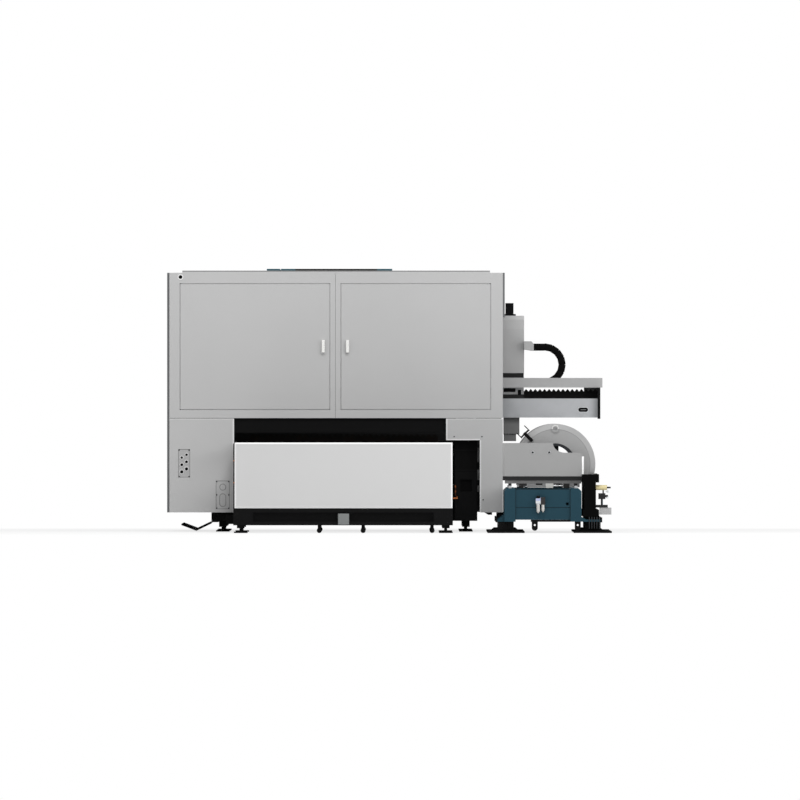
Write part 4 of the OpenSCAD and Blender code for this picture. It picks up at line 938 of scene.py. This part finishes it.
class LASER_OT_bellows(bpy.types.Operator):
    """Pleats the bellows either side of the carriage"""

    bl_idname = "laser_cutter.bellows"
    bl_label = "Bellows"

    def execute(self, context):
        low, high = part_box("beam_bellows")
        plate_low, plate_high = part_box("carriage_plate")
        self.cover("bellows_right", plate_high.x, high.x, "carriage", "gantry", 2)
        self.cover("bellows_left", low.x, plate_low.x, "gantry", "carriage", 5)
        return {"FINISHED"}

    def cover(self, name, start, end, near_body, far_body, sections):
        """One bellows in sections."""
        length = (end - start) / sections
        for i in range(sections):
            left = start + i * length
            piece = self.pleats(name + "_" + str(i + 1), left, left + length)
            first = self.eased(i / sections)
            last = self.eased((i + 1) / sections)
            ramp = length / (last - first)
            begin = left - first * ramp
            begin + ramp
            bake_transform(piece)

    def eased(self, share):
        """Where a smooth step from 0 to 1 reaches a share."""
        return 0.5 - math.sin(math.asin(1 - 2 * share) / 3)

    def pleats(self, name, start, end):
        """One section: a box cut across, with its valleys drawn in from above and behind."""
        trim = bpy.context.scene.laser_trim
        low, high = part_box("beam_bellows")
        middle = (low + high) / 2
        folds = round((end - start) / trim.fold_pitch)
        half = (end - start) / folds / 2
        ridge_round = 0.002
        bm = bmesh.new()
        add_box(bm, (start, low.y, low.z), (end, high.y, high.z))
        along = [e for e in bm.edges if abs(e.verts[0].co.x - e.verts[1].co.x) > half]
        bmesh.ops.subdivide_edges(bm, edges=along, cuts=2 * folds - 1, use_grid_fill=True)
        valleys = [v for v in bm.verts if round((v.co.x - start) / half) % 2 == 0]
        upper = [v for v in valleys if v.co.z > middle.z]
        rear = [v for v in valleys if v.co.y > middle.y]
        bmesh.ops.translate(bm, verts=upper, vec=(0, 0, -trim.fold_depth))
        bmesh.ops.translate(bm, verts=rear, vec=(0, -trim.fold_depth * 0.7, 0))
        ridges = [
            e for e in bm.edges
            if abs(e.verts[0].co.x - e.verts[1].co.x) < 1e-6 and e.verts[0] not in valleys
        ]
        round_edges(bm, ridges, ridge_round)
        piece = make_piece(bm, name, "bellows_black", smooth_angle=25.0)
        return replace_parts(piece, "beam_bellows")


class LASER_OT_drag_chain(bpy.types.Operator):
    """Links the drag chain from its tray round the bend to the carriage"""

    bl_idname = "laser_cutter.drag_chain"
    bl_label = "Drag chain"

    def execute(self, context):
        trim = context.scene.laser_trim
        low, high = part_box("drag_chain")
        radius = (high.z - low.z - trim.link_height) / 2
        bend = (low + high) / 2
        bend.x = high.x - radius - trim.link_height / 2
        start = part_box("z_housing")[1].x + 0.001
        lower_links = round((bend.x - low.x) / trim.link_pitch)

        piece = self.straight("chain_upper_run", (start, bend.y, bend.z + radius), bend.x, 2)
        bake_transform(piece)

        piece = self.turn("chain_bend", bend, radius, 8)
        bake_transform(piece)

        piece = self.straight("chain_lower_run", (bend.x, bend.y, bend.z - radius), low.x, lower_links)
        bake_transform(piece)
        return {"FINISHED"}

    def straight(self, name, start, end, links):
        """A straight run of links along X, from a point to a place."""
        pitch = (end - start[0]) / links
        bm = bmesh.new()
        for i in range(links):
            middle = Vector(start) + Vector(((i + 0.5) * pitch, 0, 0))
            self.link(bm, Matrix.Translation(middle), abs(pitch))
        return self.chain(bm, name)

    def turn(self, name, middle, radius, links):
        """Links round the half circle of the bend."""
        bm = bmesh.new()
        for i in range(links):
            angle = math.pi * (i + 0.5) / links
            hub = Matrix.Translation(middle) @ Matrix.Rotation(angle, 4, "Y")
            self.link(bm, hub @ Matrix.Translation((0, 0, radius)), math.pi * radius / links)
        return self.chain(bm, name)

    def link(self, bm, place, pitch):
        """One link: two rounded side plates with their pins, and a bar above and below."""
        low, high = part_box("drag_chain")
        width = high.y - low.y
        height = bpy.context.scene.laser_trim.link_height
        side = 0.012
        overlap = 0.004
        reach = pitch / 2 + overlap
        pin_radius, pin_length = 0.009, 0.003
        bar_reach = pitch * 0.36
        bar_end = width / 2 - side * 0.8
        bar_half = 0.0035
        bar_inset = 0.004
        before = set(bm.verts)
        for sign in (-1, 1):
            y = sign * (width - side) / 2
            add_box(bm, (-reach, y - side / 2, -height / 2), (reach, y + side / 2, height / 2), 0.005)
            add_rod(bm, (pitch / 4, y + sign * side * 0.55, 0), pin_radius, pin_length, "Y", 16)
        for sign in (-1, 1):
            z = sign * (height / 2 - bar_inset)
            add_box(bm, (-bar_reach, -bar_end, z - bar_half), (bar_reach, bar_end, z + bar_half), 0.002)
        bmesh.ops.transform(bm, matrix=place, verts=[v for v in bm.verts if v not in before])

    def chain(self, bm, name):
        """A piece of the chain in place of the CAD model's plain one."""
        piece = make_piece(bm, name, "chain_black")
        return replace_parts(piece, "drag_chain")


class LASER_OT_door_trim(bpy.types.Operator):
    """Seals the edges of the end doors and rings the cable hole"""

    bl_idname = "laser_cutter.door_trim"
    bl_label = "Door trim"

    def execute(self, context):
        tones = context.scene.laser_tones
        seal_coat = powder_coat("door_seal_grey", tones.seal, 0.7, 0.2)
        for side in ("left", "right"):
            self.edge_seal(side, seal_coat)
        self.grommet(powder_coat("grommet_white", tones.grommet, 0.4, 0.4))
        return {"FINISHED"}

    def grommet(self, coat):
        """Ring of the cable hole over the left door, and a black disc in the ring as the hole's painted shade.
        """
        wall_low, wall_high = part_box("end_walls")
        hole = Vector((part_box("left_door")[0].x, wall_low.y, wall_high.z - 0.036))
        ring = bmesh.new()
        add_ring(ring, hole, 0.016, 0.0235, 0.006, "Y")
        make_piece(ring, "cable_grommet", "panel_white", "machine", coat)
        # Painted shade: a black disc stands for the dark inside of the cable hole.
        hole_shade_disc = bmesh.new()
        add_rod(hole_shade_disc, hole, 0.0165, 0.003, "Y", 32)
        make_piece(hole_shade_disc, "grommet_hole_shade", "chain_black", "machine")

    def edge_seal(self, side, coat):
        """Four strips on a leaf's edges, short of the pivot pins."""
        trim = bpy.context.scene.laser_trim
        low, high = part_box(side + "_door")
        pin_room = 0.022
        setback = 0.0015
        middle = (low.y + high.y) / 2 - setback
        front = middle - trim.seal_depth / 2
        back = middle + trim.seal_depth / 2
        width = trim.seal_width
        left = low.x + (pin_room if side == "left" else 0)
        right = high.x - (pin_room if side == "right" else 0)
        strips = bmesh.new()
        for left_x, bottom, right_x, top in (
            (low.x - width, low.z, low.x, high.z),
            (high.x, low.z, high.x + width, high.z),
            (left, high.z, right, high.z + width),
            (left, low.z - width, right, low.z),
        ):
            add_box(strips, (left_x, front, bottom), (right_x, back, top), 0.001)
        make_piece(strips, side + "_door_seal", "side_grey", side + "_leaf", coat)


class LASER_OT_cable_plates(bpy.types.Operator):
    """Fits the cable plates with glands and screws, and the walls with screws, brackets and markers"""

    bl_idname = "laser_cutter.cable_plates"
    bl_label = "Cable plates"

    def execute(self, context):
        tones = context.scene.laser_tones
        self.glands(powder_coat("gland_white", tones.gland, 0.4, 0.4))
        self.screws(context.scene.laser_trim.screw_head)
        self.brackets(powder_coat("bracket_grey", tones.bracket))
        self.markers()
        return {"FINISHED"}

    def glands(self, coat):
        """Two columns of gland rings with their plugs, larger downwards."""
        low, high = cable_plates()[0]
        proud = 0.002
        column, row_pitch, stagger = 0.020, 0.0595, 0.012
        rings = bmesh.new()
        plugs = bmesh.new()
        for side in (-1, 1):
            for row in (-1, 0, 1):
                place = (low + high) / 2
                place += Vector((side * column, -proud, row * row_pitch + side * stagger))
                bore = 0.0125 - 0.0015 * row
                add_ring(rings, place, bore, bore + 0.005, 0.005, "Y", 24)
                add_rod(plugs, place, bore + 0.0005, 0.003, "Y", 24)
        make_piece(rings, "gland_rings", "panel_white", "machine", coat)
        make_piece(plugs, "gland_plugs", "chain_black", "machine")

    def screws(self, head):
        """Screws along the sides of both plates, and three in the lower panel beside the bed."""
        gland_plate, knock_plate = cable_plates()
        inset = 0.008
        screws = bmesh.new()
        for (low, high), rows in ((gland_plate, 2), (knock_plate, 3)):
            pitch = (high.z - low.z - 2 * inset) / (rows - 1)
            for x in (low.x + inset, high.x - inset):
                for i in range(rows):
                    add_screw(screws, (x, low.y, low.z + inset + i * pitch), head)
        make_piece(screws, "plate_screws", "dark_steel", "machine")
        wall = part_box("lower_panels")[0].y
        bed_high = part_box("bed_frame")[1]
        screws = bmesh.new()
        for x, z in ((-0.194, 0.03), (0.038, 0.03), (0.049, -0.4985)):
            add_screw(screws, (bed_high.x + x, wall, bed_high.z + z), head)
        make_piece(screws, "panel_screws", "dark_steel", "machine")

    def brackets(self, coat):
        """Grey brackets between the bed's side and the lower panel."""
        low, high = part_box("bed_frame")
        front, back = low.y + 0.005, low.y + 0.06
        reach = 0.026
        plates = bmesh.new()
        for bottom, top in ((0.434, 0.380), (0.334, 0.247), (0.184, 0.0635)):
            add_box(plates, (high.x, front, high.z - bottom), (high.x + reach, back, high.z - top), 0.001)
        make_piece(plates, "panel_brackets", "gear_grey", "machine", coat)

    def markers(self):
        """Two orange markers at the left edge of the station's panel."""
        low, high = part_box("station_end_panel")
        x, y = low.x - 0.0055, high.y - 0.012
        radius, length = 0.005, 0.02
        markers = bmesh.new()
        for z in (0.599, 0.4175):
            add_rod(markers, (x, y, z), radius, length, "Y", 16)
        make_piece(markers, "station_markers", "hose_orange", "machine")


class LASER_OT_carriage_trim(bpy.types.Operator):
    """Adds the dark slots of the cross carriage, the beam's access slot and its end trim"""

    bl_idname = "laser_cutter.carriage_trim"
    bl_label = "Carriage trim"

    def execute(self, context):
        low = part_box("carriage_plate")[0]
        beam_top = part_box("gantry_beam")[1].z
        front, back = low.y - 0.0004, low.y + 0.002
        slots = bmesh.new()
        for left, right, bottom, top in ((0.038, 0.138, 0.055, 0.086), (0.157, 0.184, 0.03, 0.073)):
            add_box(
                slots, (low.x + left, front, beam_top + bottom),
                (low.x + right, back, beam_top + top), 0.0003,
            )
        make_piece(slots, "carriage_slots", "motor_black", "carriage")
        self.beam_slot()
        self.beam_end(powder_coat("end_plate_grey", context.scene.laser_tones.end_plate))
        return {"FINISHED"}

    def beam_slot(self):
        """Rim, dark cover and pull bar of the access slot at the beam's end."""
        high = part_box("gantry_beam")[1]
        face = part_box("beam_end_caps")[0].y + 0.005
        left, right = high.x - 0.163, high.x - 0.082
        bottom, top = high.z - 0.112, high.z - 0.076
        middle = (bottom + top) / 2
        border = 0.004
        bar_half = 0.003
        rim = bmesh.new()
        add_oblong(
            rim, (left - border, face - 0.001, bottom - border),
            (right + border, face + 0.002, top + border), 0.019,
        )
        make_piece(rim, "beam_slot_rim", "air_white", "gantry")
        cover = bmesh.new()
        add_oblong(cover, (left, face - 0.0016, bottom), (right, face + 0.001, top), 0.0165)
        make_piece(cover, "beam_slot_cover", "motor_black", "gantry")
        bar = bmesh.new()
        add_oblong(
            bar, (left + 0.02, face - 0.004, middle - bar_half),
            (right - 0.016, face - 0.001, middle + bar_half), 0.0025,
        )
        make_piece(bar, "beam_slot_bar", "gear_grey", "gantry")

    def beam_end(self, coat):
        """Dark plate behind the last folds, under the tray, and a strip along the end cap."""
        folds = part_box("beam_bellows")[1]
        thickness = 0.004
        low = Vector((folds.x - 0.115, folds.y + 0.001, folds.z - 0.05))
        plate = bmesh.new()
        add_box(plate, low, (folds.x, low.y + thickness, folds.z + 0.011), 0.0005)
        make_piece(plate, "beam_end_plate", "dark_steel", "gantry", coat)
        cap_low, cap_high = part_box("beam_end_caps")
        width = 0.007
        strip = bmesh.new()
        add_box(
            strip, (cap_high.x, cap_low.y, cap_low.z), (cap_high.x + width, cap_high.y, cap_high.z), 0.001
        )
        make_piece(strip, "beam_end_strip", "motor_black", "gantry")


class LASER_OT_chuck_trim(bpy.types.Operator):
    """Adds the chucks' bolts, the lifting eye, and the cover's screws, washers and end folds"""

    bl_idname = "laser_cutter.chuck_trim"
    bl_label = "Chuck trim"

    def execute(self, context):
        self.cover_screws()
        self.end_fold("cover_end_fold", "chuck_cover", "cover_grey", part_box("chuck_cover")[0].z)
        self.end_fold("deck_end_cap", "chuck_carriage", "dark_steel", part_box("feed_drive")[1].z)
        self.lifting_eye(powder_coat("lifting_eye_grey", context.scene.laser_tones.eye, 0.4, 0.4))
        self.face_bolts("feed_chuck_bolts", "chuck_housing", "feed")
        self.face_bolts("front_chuck_bolts", "front_chuck_housing", "machine")
        return {"FINISHED"}

    def cover_screws(self):
        """Two black screws of the chuck cover on white washers."""
        low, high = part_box("chuck_cover")
        head = 0.018
        screws = bmesh.new()
        washers = bmesh.new()
        for offset in (-0.188, -0.051):
            place = Vector((chuck_axis().x + offset, low.y, high.z - 0.078))
            add_screw(screws, place, head)
            add_ring(washers, place - Vector((0, 0.0006, 0)), 0.0085, 0.0115, 0.0015, "Y", 24, 0.0004)
        make_piece(screws, "cover_screws", "motor_black", "feed")
        make_piece(washers, "cover_washers", "air_white", "feed")

    def end_fold(self, name, node, slot, bottom):
        """A return fold at the left end of the chuck cover or of its deck, in the same finish."""
        low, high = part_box(node)
        reach = 0.018
        depth = 0.030
        fold = bmesh.new()
        add_box(fold, (low.x - reach, low.y, bottom), (low.x, low.y + depth, high.z), 0.0015)
        make_piece(fold, name, slot, "feed", frame["nodes"][node].data.materials[0])

    def lifting_eye(self, coat):
        """Upper part of a lifting eye on the feed chuck's face, cut flat below."""
        axis = chuck_axis()
        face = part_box("chuck_housing")[0].y
        middle = axis.z + 0.295
        cut = axis.z + 0.289
        eye = bmesh.new()
        add_ring(eye, (axis.x, face - 0.001, middle), 0.0195, 0.0305, 0.004, "Y", 32, 0.0015)
        bmesh.ops.bisect_plane(
            eye, geom=eye.verts[:] + eye.edges[:] + eye.faces[:],
            plane_co=(axis.x, face, cut), plane_no=(0, 0, -1), clear_outer=True,
        )
        bmesh.ops.holes_fill(eye, edges=eye.edges[:], sides=0)
        make_piece(eye, "chuck_eye", "chuck_steel", "feed", coat)

    def face_bolts(self, name, node, body):
        """A circle of bolts on the far face of a chuck's housing, left out below the housing."""
        low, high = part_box(node)
        axis = chuck_axis()
        count = 16
        circle = 0.2
        head = 0.02
        bolts = bmesh.new()
        for i in range(count):
            angle = 2 * math.pi * (i + 0.5) / count
            place = Vector((axis.x + circle * math.cos(angle), high.y, axis.z + circle * math.sin(angle)))
            if place.z > low.z + head:
                add_screw(bolts, place, head, 1.0)
        make_piece(bolts, name, "dark_steel", body)


class LASER_OT_fittings(bpy.types.Operator):
    """Adds the fittings of the feed drive and of the valves, the foot's fins and the gutter's brace"""

    bl_idname = "laser_cutter.fittings"
    bl_label = "Drive and valve fittings"

    def execute(self, context):
        self.drive_fittings()
        self.valve_fittings()
        self.foot_fins()
        self.gutter_brace()
        return {"FINISHED"}

    def drive_fittings(self):
        """Motor shaft, coupling, cable unions and the black strip under the cross plate."""
        low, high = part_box("feed_drive")
        axis = chuck_axis().x
        y = low.y + 0.023
        z = high.z - 0.046
        shaft = bmesh.new()
        add_rod(shaft, (axis - 0.003, y, z), 0.016, 0.036, "X", 32, 0.002)
        add_rod(shaft, (axis + 0.0385, y, z), 0.013, 0.047, "X", 32, 0.002)
        for x in (axis - 0.309, axis - 0.244):
            add_rod(shaft, (x, y, z - 0.005), 0.011, 0.021, "X", 24, 0.002)
        make_piece(shaft, "drive_shaft_fittings", "rail_steel", "feed")
        strip = bmesh.new()
        add_box(
            strip, (axis - 0.163, low.y - 0.003, high.z - 0.038),
            (axis - 0.107, low.y + 0.012, high.z - 0.026), 0.001,
        )
        make_piece(strip, "drive_cable_clip", "motor_black", "feed")

    def valve_fittings(self):
        """Push-in unions beside the valve, and the riser pipe from the shelf."""
        low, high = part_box("valve_set")
        y = (low.y + high.y) / 2
        unions = bmesh.new()
        for x, z, radius in ((-0.031, -0.101, 0.009), (-0.028, -0.053, 0.010)):
            add_rod(unions, (high.x + x, y, high.z + z), radius, 0.018, "X", 24, 0.003)
            add_rod(unions, (high.x + x - 0.012, y, high.z + z), radius * 0.6, 0.012, "X", 24)
        make_piece(unions, "valve_unions", "air_white", "machine")
        pipe = bmesh.new()
        add_rod(pipe, (low.x + 0.052, y, low.z + 0.107), 0.006, 0.052, "Z", 20)
        make_piece(pipe, "valve_riser", "teal_paint", "machine")

    def foot_fins(self):
        """Fins of the packing plates at the near right foot, through the bed's flange."""
        low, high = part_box("tube_feet")
        front, back = low.y - 0.006, low.y + 0.062
        bottom, top = 0.036, 0.134
        pitch = 0.0209
        half = 0.0035
        fins = bmesh.new()
        for i in range(5):
            x = high.x - 0.187 + i * pitch
            add_box(fins, (x - half, front, bottom), (x + half, back, top), 0.001)
        make_piece(fins, "foot_fins", "dark_steel", "machine")

    def gutter_brace(self):
        """Flat bar along the inner slope of the spill gutter at its near end."""
        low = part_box("side_gutter")[0]
        foot = Vector((low.x + 0.120, low.y, low.z + 0.0055))
        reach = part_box("bed_frame")[0].x - 0.001 - foot.x
        slope = math.atan2(0.070, 0.146)
        half = 0.0095
        bar = bmesh.new()
        add_box(bar, (0, -0.012, -half), (reach / math.cos(slope), 0.028, half), 0.002)
        matrix = Matrix.Translation(foot) @ Matrix.Rotation(-slope, 4, "Y")
        bmesh.ops.transform(bar, matrix=matrix, verts=bar.verts[:])
        make_piece(bar, "gutter_brace", "frame_black", "machine")


class LASER_OT_rail_bolts(bpy.types.Operator):
    """Bolts down the guide rails"""

    bl_idname = "laser_cutter.rail_bolts"
    bl_label = "Rail bolts"

    def execute(self, context):
        rail_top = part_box("guide_rails")[1].z
        low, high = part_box("bed_frame")
        rail_in = 0.095
        end_room = 0.03
        start, end = low.y + end_room, high.y - end_room
        count = int((end - start) / context.scene.laser_trim.rail_bolt_pitch)
        head_radius, head_height = 0.007, 0.0012
        bolts = bmesh.new()
        for x in (low.x + rail_in, high.x - rail_in):
            for i in range(count):
                y = start + (i + 0.5) * (end - start) / count
                add_rod(bolts, (x, y, rail_top + 0.0003), head_radius, head_height, "Z", 12)
        make_piece(bolts, "rail_bolts", "dark_steel", "machine")
        return {"FINISHED"}


class LASER_OT_console(bpy.types.Operator):
    """Fits the operator panel with its screen and keys, and the sliding door with its pull"""

    bl_idname = "laser_cutter.console"
    bl_label = "Operator console"

    def execute(self, context):
        low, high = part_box("operator_panel")
        margin = 0.02
        screen = bmesh.new()
        add_box(
            screen, (low.x + 0.017, low.y + margin, low.z + 0.215),
            (low.x + 0.021, high.y - margin, high.z - margin), 0.001,
        )
        make_piece(screen, "console_screen", "panel_black", "machine", self.screen_finish(low, high))
        self.keys(low)
        self.door_pull()
        return {"FINISHED"}

    def keys(self, low):
        """Four rows of square keys under the screen."""
        front, back = low.x + 0.019, low.x + 0.027
        half = 0.008
        column_pitch, row_pitch = 0.029, 0.034
        keys = bmesh.new()
        for row in range(4):
            for column in range(9):
                y = low.y + 0.04 + column * column_pitch
                z = low.z + 0.035 + row * row_pitch
                add_box(keys, (front, y - half, z - half), (back, y + half, z + half), 0.002)
        make_piece(keys, "console_keys", "air_white", "machine")

    def door_pull(self):
        """Upright bar on two stems, between the sliding door's edge and its window."""
        low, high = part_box("operator_door")
        y = (low.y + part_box("door_window")[0].y) / 2
        middle = (low.z + high.z) / 2
        pull = bmesh.new()
        add_rod(pull, (low.x - 0.016, y, middle), 0.006, 0.22, "Z", 20, 0.002)
        for z in (middle - 0.09, middle + 0.09):
            add_rod(pull, (low.x - 0.008, y, z), 0.005, 0.016, "X", 16)
        make_piece(pull, "operator_door_pull", "handle_cream", "operator_leaf")

    def screen_finish(self, low, high):
        """Dark screen with a generic drawing grid and a few fields of colour."""
        half_mesh, line_start = 0.0125, 0.0118
        half_bar, bar_start = 0.02, 0.006
        back, line, bar = (0.01, 0.015, 0.02), (0.1, 0.35, 0.4), (0.25, 0.3, 0.32)
        finish = Finish("console_screen_glow", Specular_IOR_Level=0.5, Roughness=0.15, Emission_Strength=0.35)
        grid = finish.y.folded(half_mesh).above(line_start, 0.0004)
        grid = grid + finish.z.folded(half_mesh).above(line_start, 0.0004)
        field = finish.y.between(low.y + 0.04, high.y - 0.15)
        field = field * finish.z.between(low.z + 0.235, high.z - 0.05)
        bars = finish.y.between(high.y - 0.13, high.y - 0.04) * finish.z.folded(half_bar).above(bar_start)
        lit = finish.mix(bars * 0.6, finish.mix(grid * field * 0.5, back, line), bar)
        return finish.drive(Base_Color=lit, Emission_Color=lit)


def soft_light(name, place, target, size, power):
    """A large square lamp that faces a point."""
    data = bpy.data.lights.new(name, "AREA")
    data.shape = "SQUARE"
    data.size = size
    data.energy = power
    lamp = bpy.data.objects.new(name, data)
    bpy.context.scene.collection.objects.link(lamp)
    lamp.location = place
    lamp.rotation_euler = (Vector(target) - Vector(place)).to_track_quat("-Z", "Y").to_euler()


class LASER_OT_studio(bpy.types.Operator):
    """Sets the plain studio: camera, pale floor, even sky and three soft lamps"""

    bl_idname = "laser_cutter.studio"
    bl_label = "Studio"

    def execute(self, context):
        scene = context.scene
        studio = scene.laser_studio
        scene.view_settings.view_transform = "Standard"
        self.camera(scene, studio)
        self.floor(scene, studio)
        self.sky(scene, studio)
        soft_light("overhead_light", (-0.5, -1.5, 7.5), (0, 0, 0), 9.0, studio.key)
        soft_light("right_light", (7.0, -8.0, 3.5), (1.0, -1.0, 1.0), 5.0, studio.fill)
        soft_light("front_light", (0.7, -9.0, 8.0), (0.4, -0.5, 0.6), 3.0, studio.front)
        return {"FINISHED"}

    def camera(self, scene, studio):
        """A long lens that looks along +Y from far away."""
        data = bpy.data.cameras.new("camera")
        data.sensor_width = 36.0
        data.lens = studio.lens
        distance = studio.view_width * data.lens / data.sensor_width
        data.clip_start = 1.0
        data.clip_end = 2 * distance
        camera = bpy.data.objects.new("camera", data)
        scene.collection.objects.link(camera)
        camera.location = (studio.view_x, studio.view_depth - distance, studio.view_z)
        camera.rotation_euler = (math.pi / 2, 0, 0)
        scene.camera = camera

    def floor(self, scene, studio):
        """Pale floor that the camera sees nearly white, and white far from the machine."""
        half = studio.floor_size / 2
        bm = bmesh.new()
        bmesh.ops.create_grid(bm, x_segments=1, y_segments=1, size=half)
        mesh = bpy.data.meshes.new("floor")
        bm.to_mesh(mesh)
        bm.free()
        floor = bpy.data.objects.new("floor", mesh)
        scene.collection.objects.link(floor)
        finish = Finish("floor_white", Roughness=0.9, Specular_IOR_Level=0.0)
        pale = finish.mix(finish.noise(0.8), grey(0.86), grey(0.88))
        mesh.materials.append(finish.drive(Base_Color=pale))
        lit = Value(finish, finish.shader.outputs[0])
        seen = finish.node("ShaderNodeLightPath", {}, {}, "Is Camera Ray")
        white = finish.node("ShaderNodeEmission", {}, {"Color": grey(1.0), "Strength": 1.0})
        faded = hypotenuse(finish.x, finish.y).above(0.75 * half, 0.2 * half)
        blend = finish.node("ShaderNodeMixShader", {}, {0: seen * (0.75 + 0.25 * faded), 1: lit, 2: white})
        finish.feed(finish.tree.nodes["Material Output"].inputs["Surface"], blend)

    def sky(self, scene, studio):
        """Even sky, white where it is seen or mirrored and dimmer as a light."""
        world = bpy.data.worlds.new("sky")
        scene.world = world
        world.use_nodes = True
        nodes = NodeTree(world.node_tree)
        camera_ray = nodes.node("ShaderNodeLightPath", {}, {}, "Is Camera Ray")
        seen = camera_ray.at_least(camera_ray.output("Is Glossy Ray"))
        seen = seen.at_least(camera_ray.output("Is Transmission Ray"))
        level = nodes.node("ShaderNodeMapRange", {}, {"Value": seen, "To Min": studio.sky, "To Max": 1.0})
        background = world.node_tree.nodes["Background"]
        nodes.feed(background.inputs["Color"], grey(1.0))
        nodes.feed(background.inputs["Strength"], level)


PIECE_OPERATORS = (
    LASER_OT_finishes,
    LASER_OT_bellows,
    LASER_OT_drag_chain,
    LASER_OT_door_trim,
    LASER_OT_cable_plates,
    LASER_OT_carriage_trim,
    LASER_OT_chuck_trim,
    LASER_OT_fittings,
    LASER_OT_rail_bolts,
    LASER_OT_console,
    LASER_OT_studio,
)


class LASER_PT_panel(bpy.types.Panel):
    """Lists the machine's pieces in the sidebar"""

    bl_idname = "LASER_PT_panel"
    bl_label = "Laser Cutter"
    bl_space_type = "VIEW_3D"
    bl_region_type = "UI"
    bl_category = "Laser Cutter"

    def draw(self, context):
        for operator in PIECE_OPERATORS:
            self.layout.operator(operator.bl_idname)
        for settings in (context.scene.laser_tones, context.scene.laser_trim, context.scene.laser_studio):
            column = self.layout.column()
            for name in settings.bl_rna.properties.keys():
                if name not in ("rna_type", "name"):
                    column.prop(settings, name)


SETTINGS = (LaserCutterTones, LaserCutterTrim, LaserCutterStudio)


def register():
    for settings in SETTINGS:
        bpy.utils.register_class(settings)
    bpy.types.Scene.laser_tones = bpy.props.PointerProperty(type=LaserCutterTones)
    bpy.types.Scene.laser_trim = bpy.props.PointerProperty(type=LaserCutterTrim)
    bpy.types.Scene.laser_studio = bpy.props.PointerProperty(type=LaserCutterStudio)
    for operator in PIECE_OPERATORS:
        bpy.utils.register_class(operator)
    bpy.utils.register_class(LASER_PT_panel)


def unregister():
    bpy.utils.unregister_class(LASER_PT_panel)
    for operator in reversed(PIECE_OPERATORS):
        bpy.utils.unregister_class(operator)
    del bpy.types.Scene.laser_studio
    del bpy.types.Scene.laser_trim
    del bpy.types.Scene.laser_tones
    for settings in reversed(SETTINGS):
        bpy.utils.unregister_class(settings)


def main():
    register()
    bpy.ops.laser_cutter.finishes()
    bpy.ops.laser_cutter.bellows()
    bpy.ops.laser_cutter.drag_chain()
    bpy.ops.laser_cutter.door_trim()
    bpy.ops.laser_cutter.cable_plates()
    bpy.ops.laser_cutter.carriage_trim()
    bpy.ops.laser_cutter.chuck_trim()
    bpy.ops.laser_cutter.fittings()
    bpy.ops.laser_cutter.rail_bolts()
    bpy.ops.laser_cutter.console()
    bpy.ops.laser_cutter.studio()


if __name__ == "__main__":
    main()
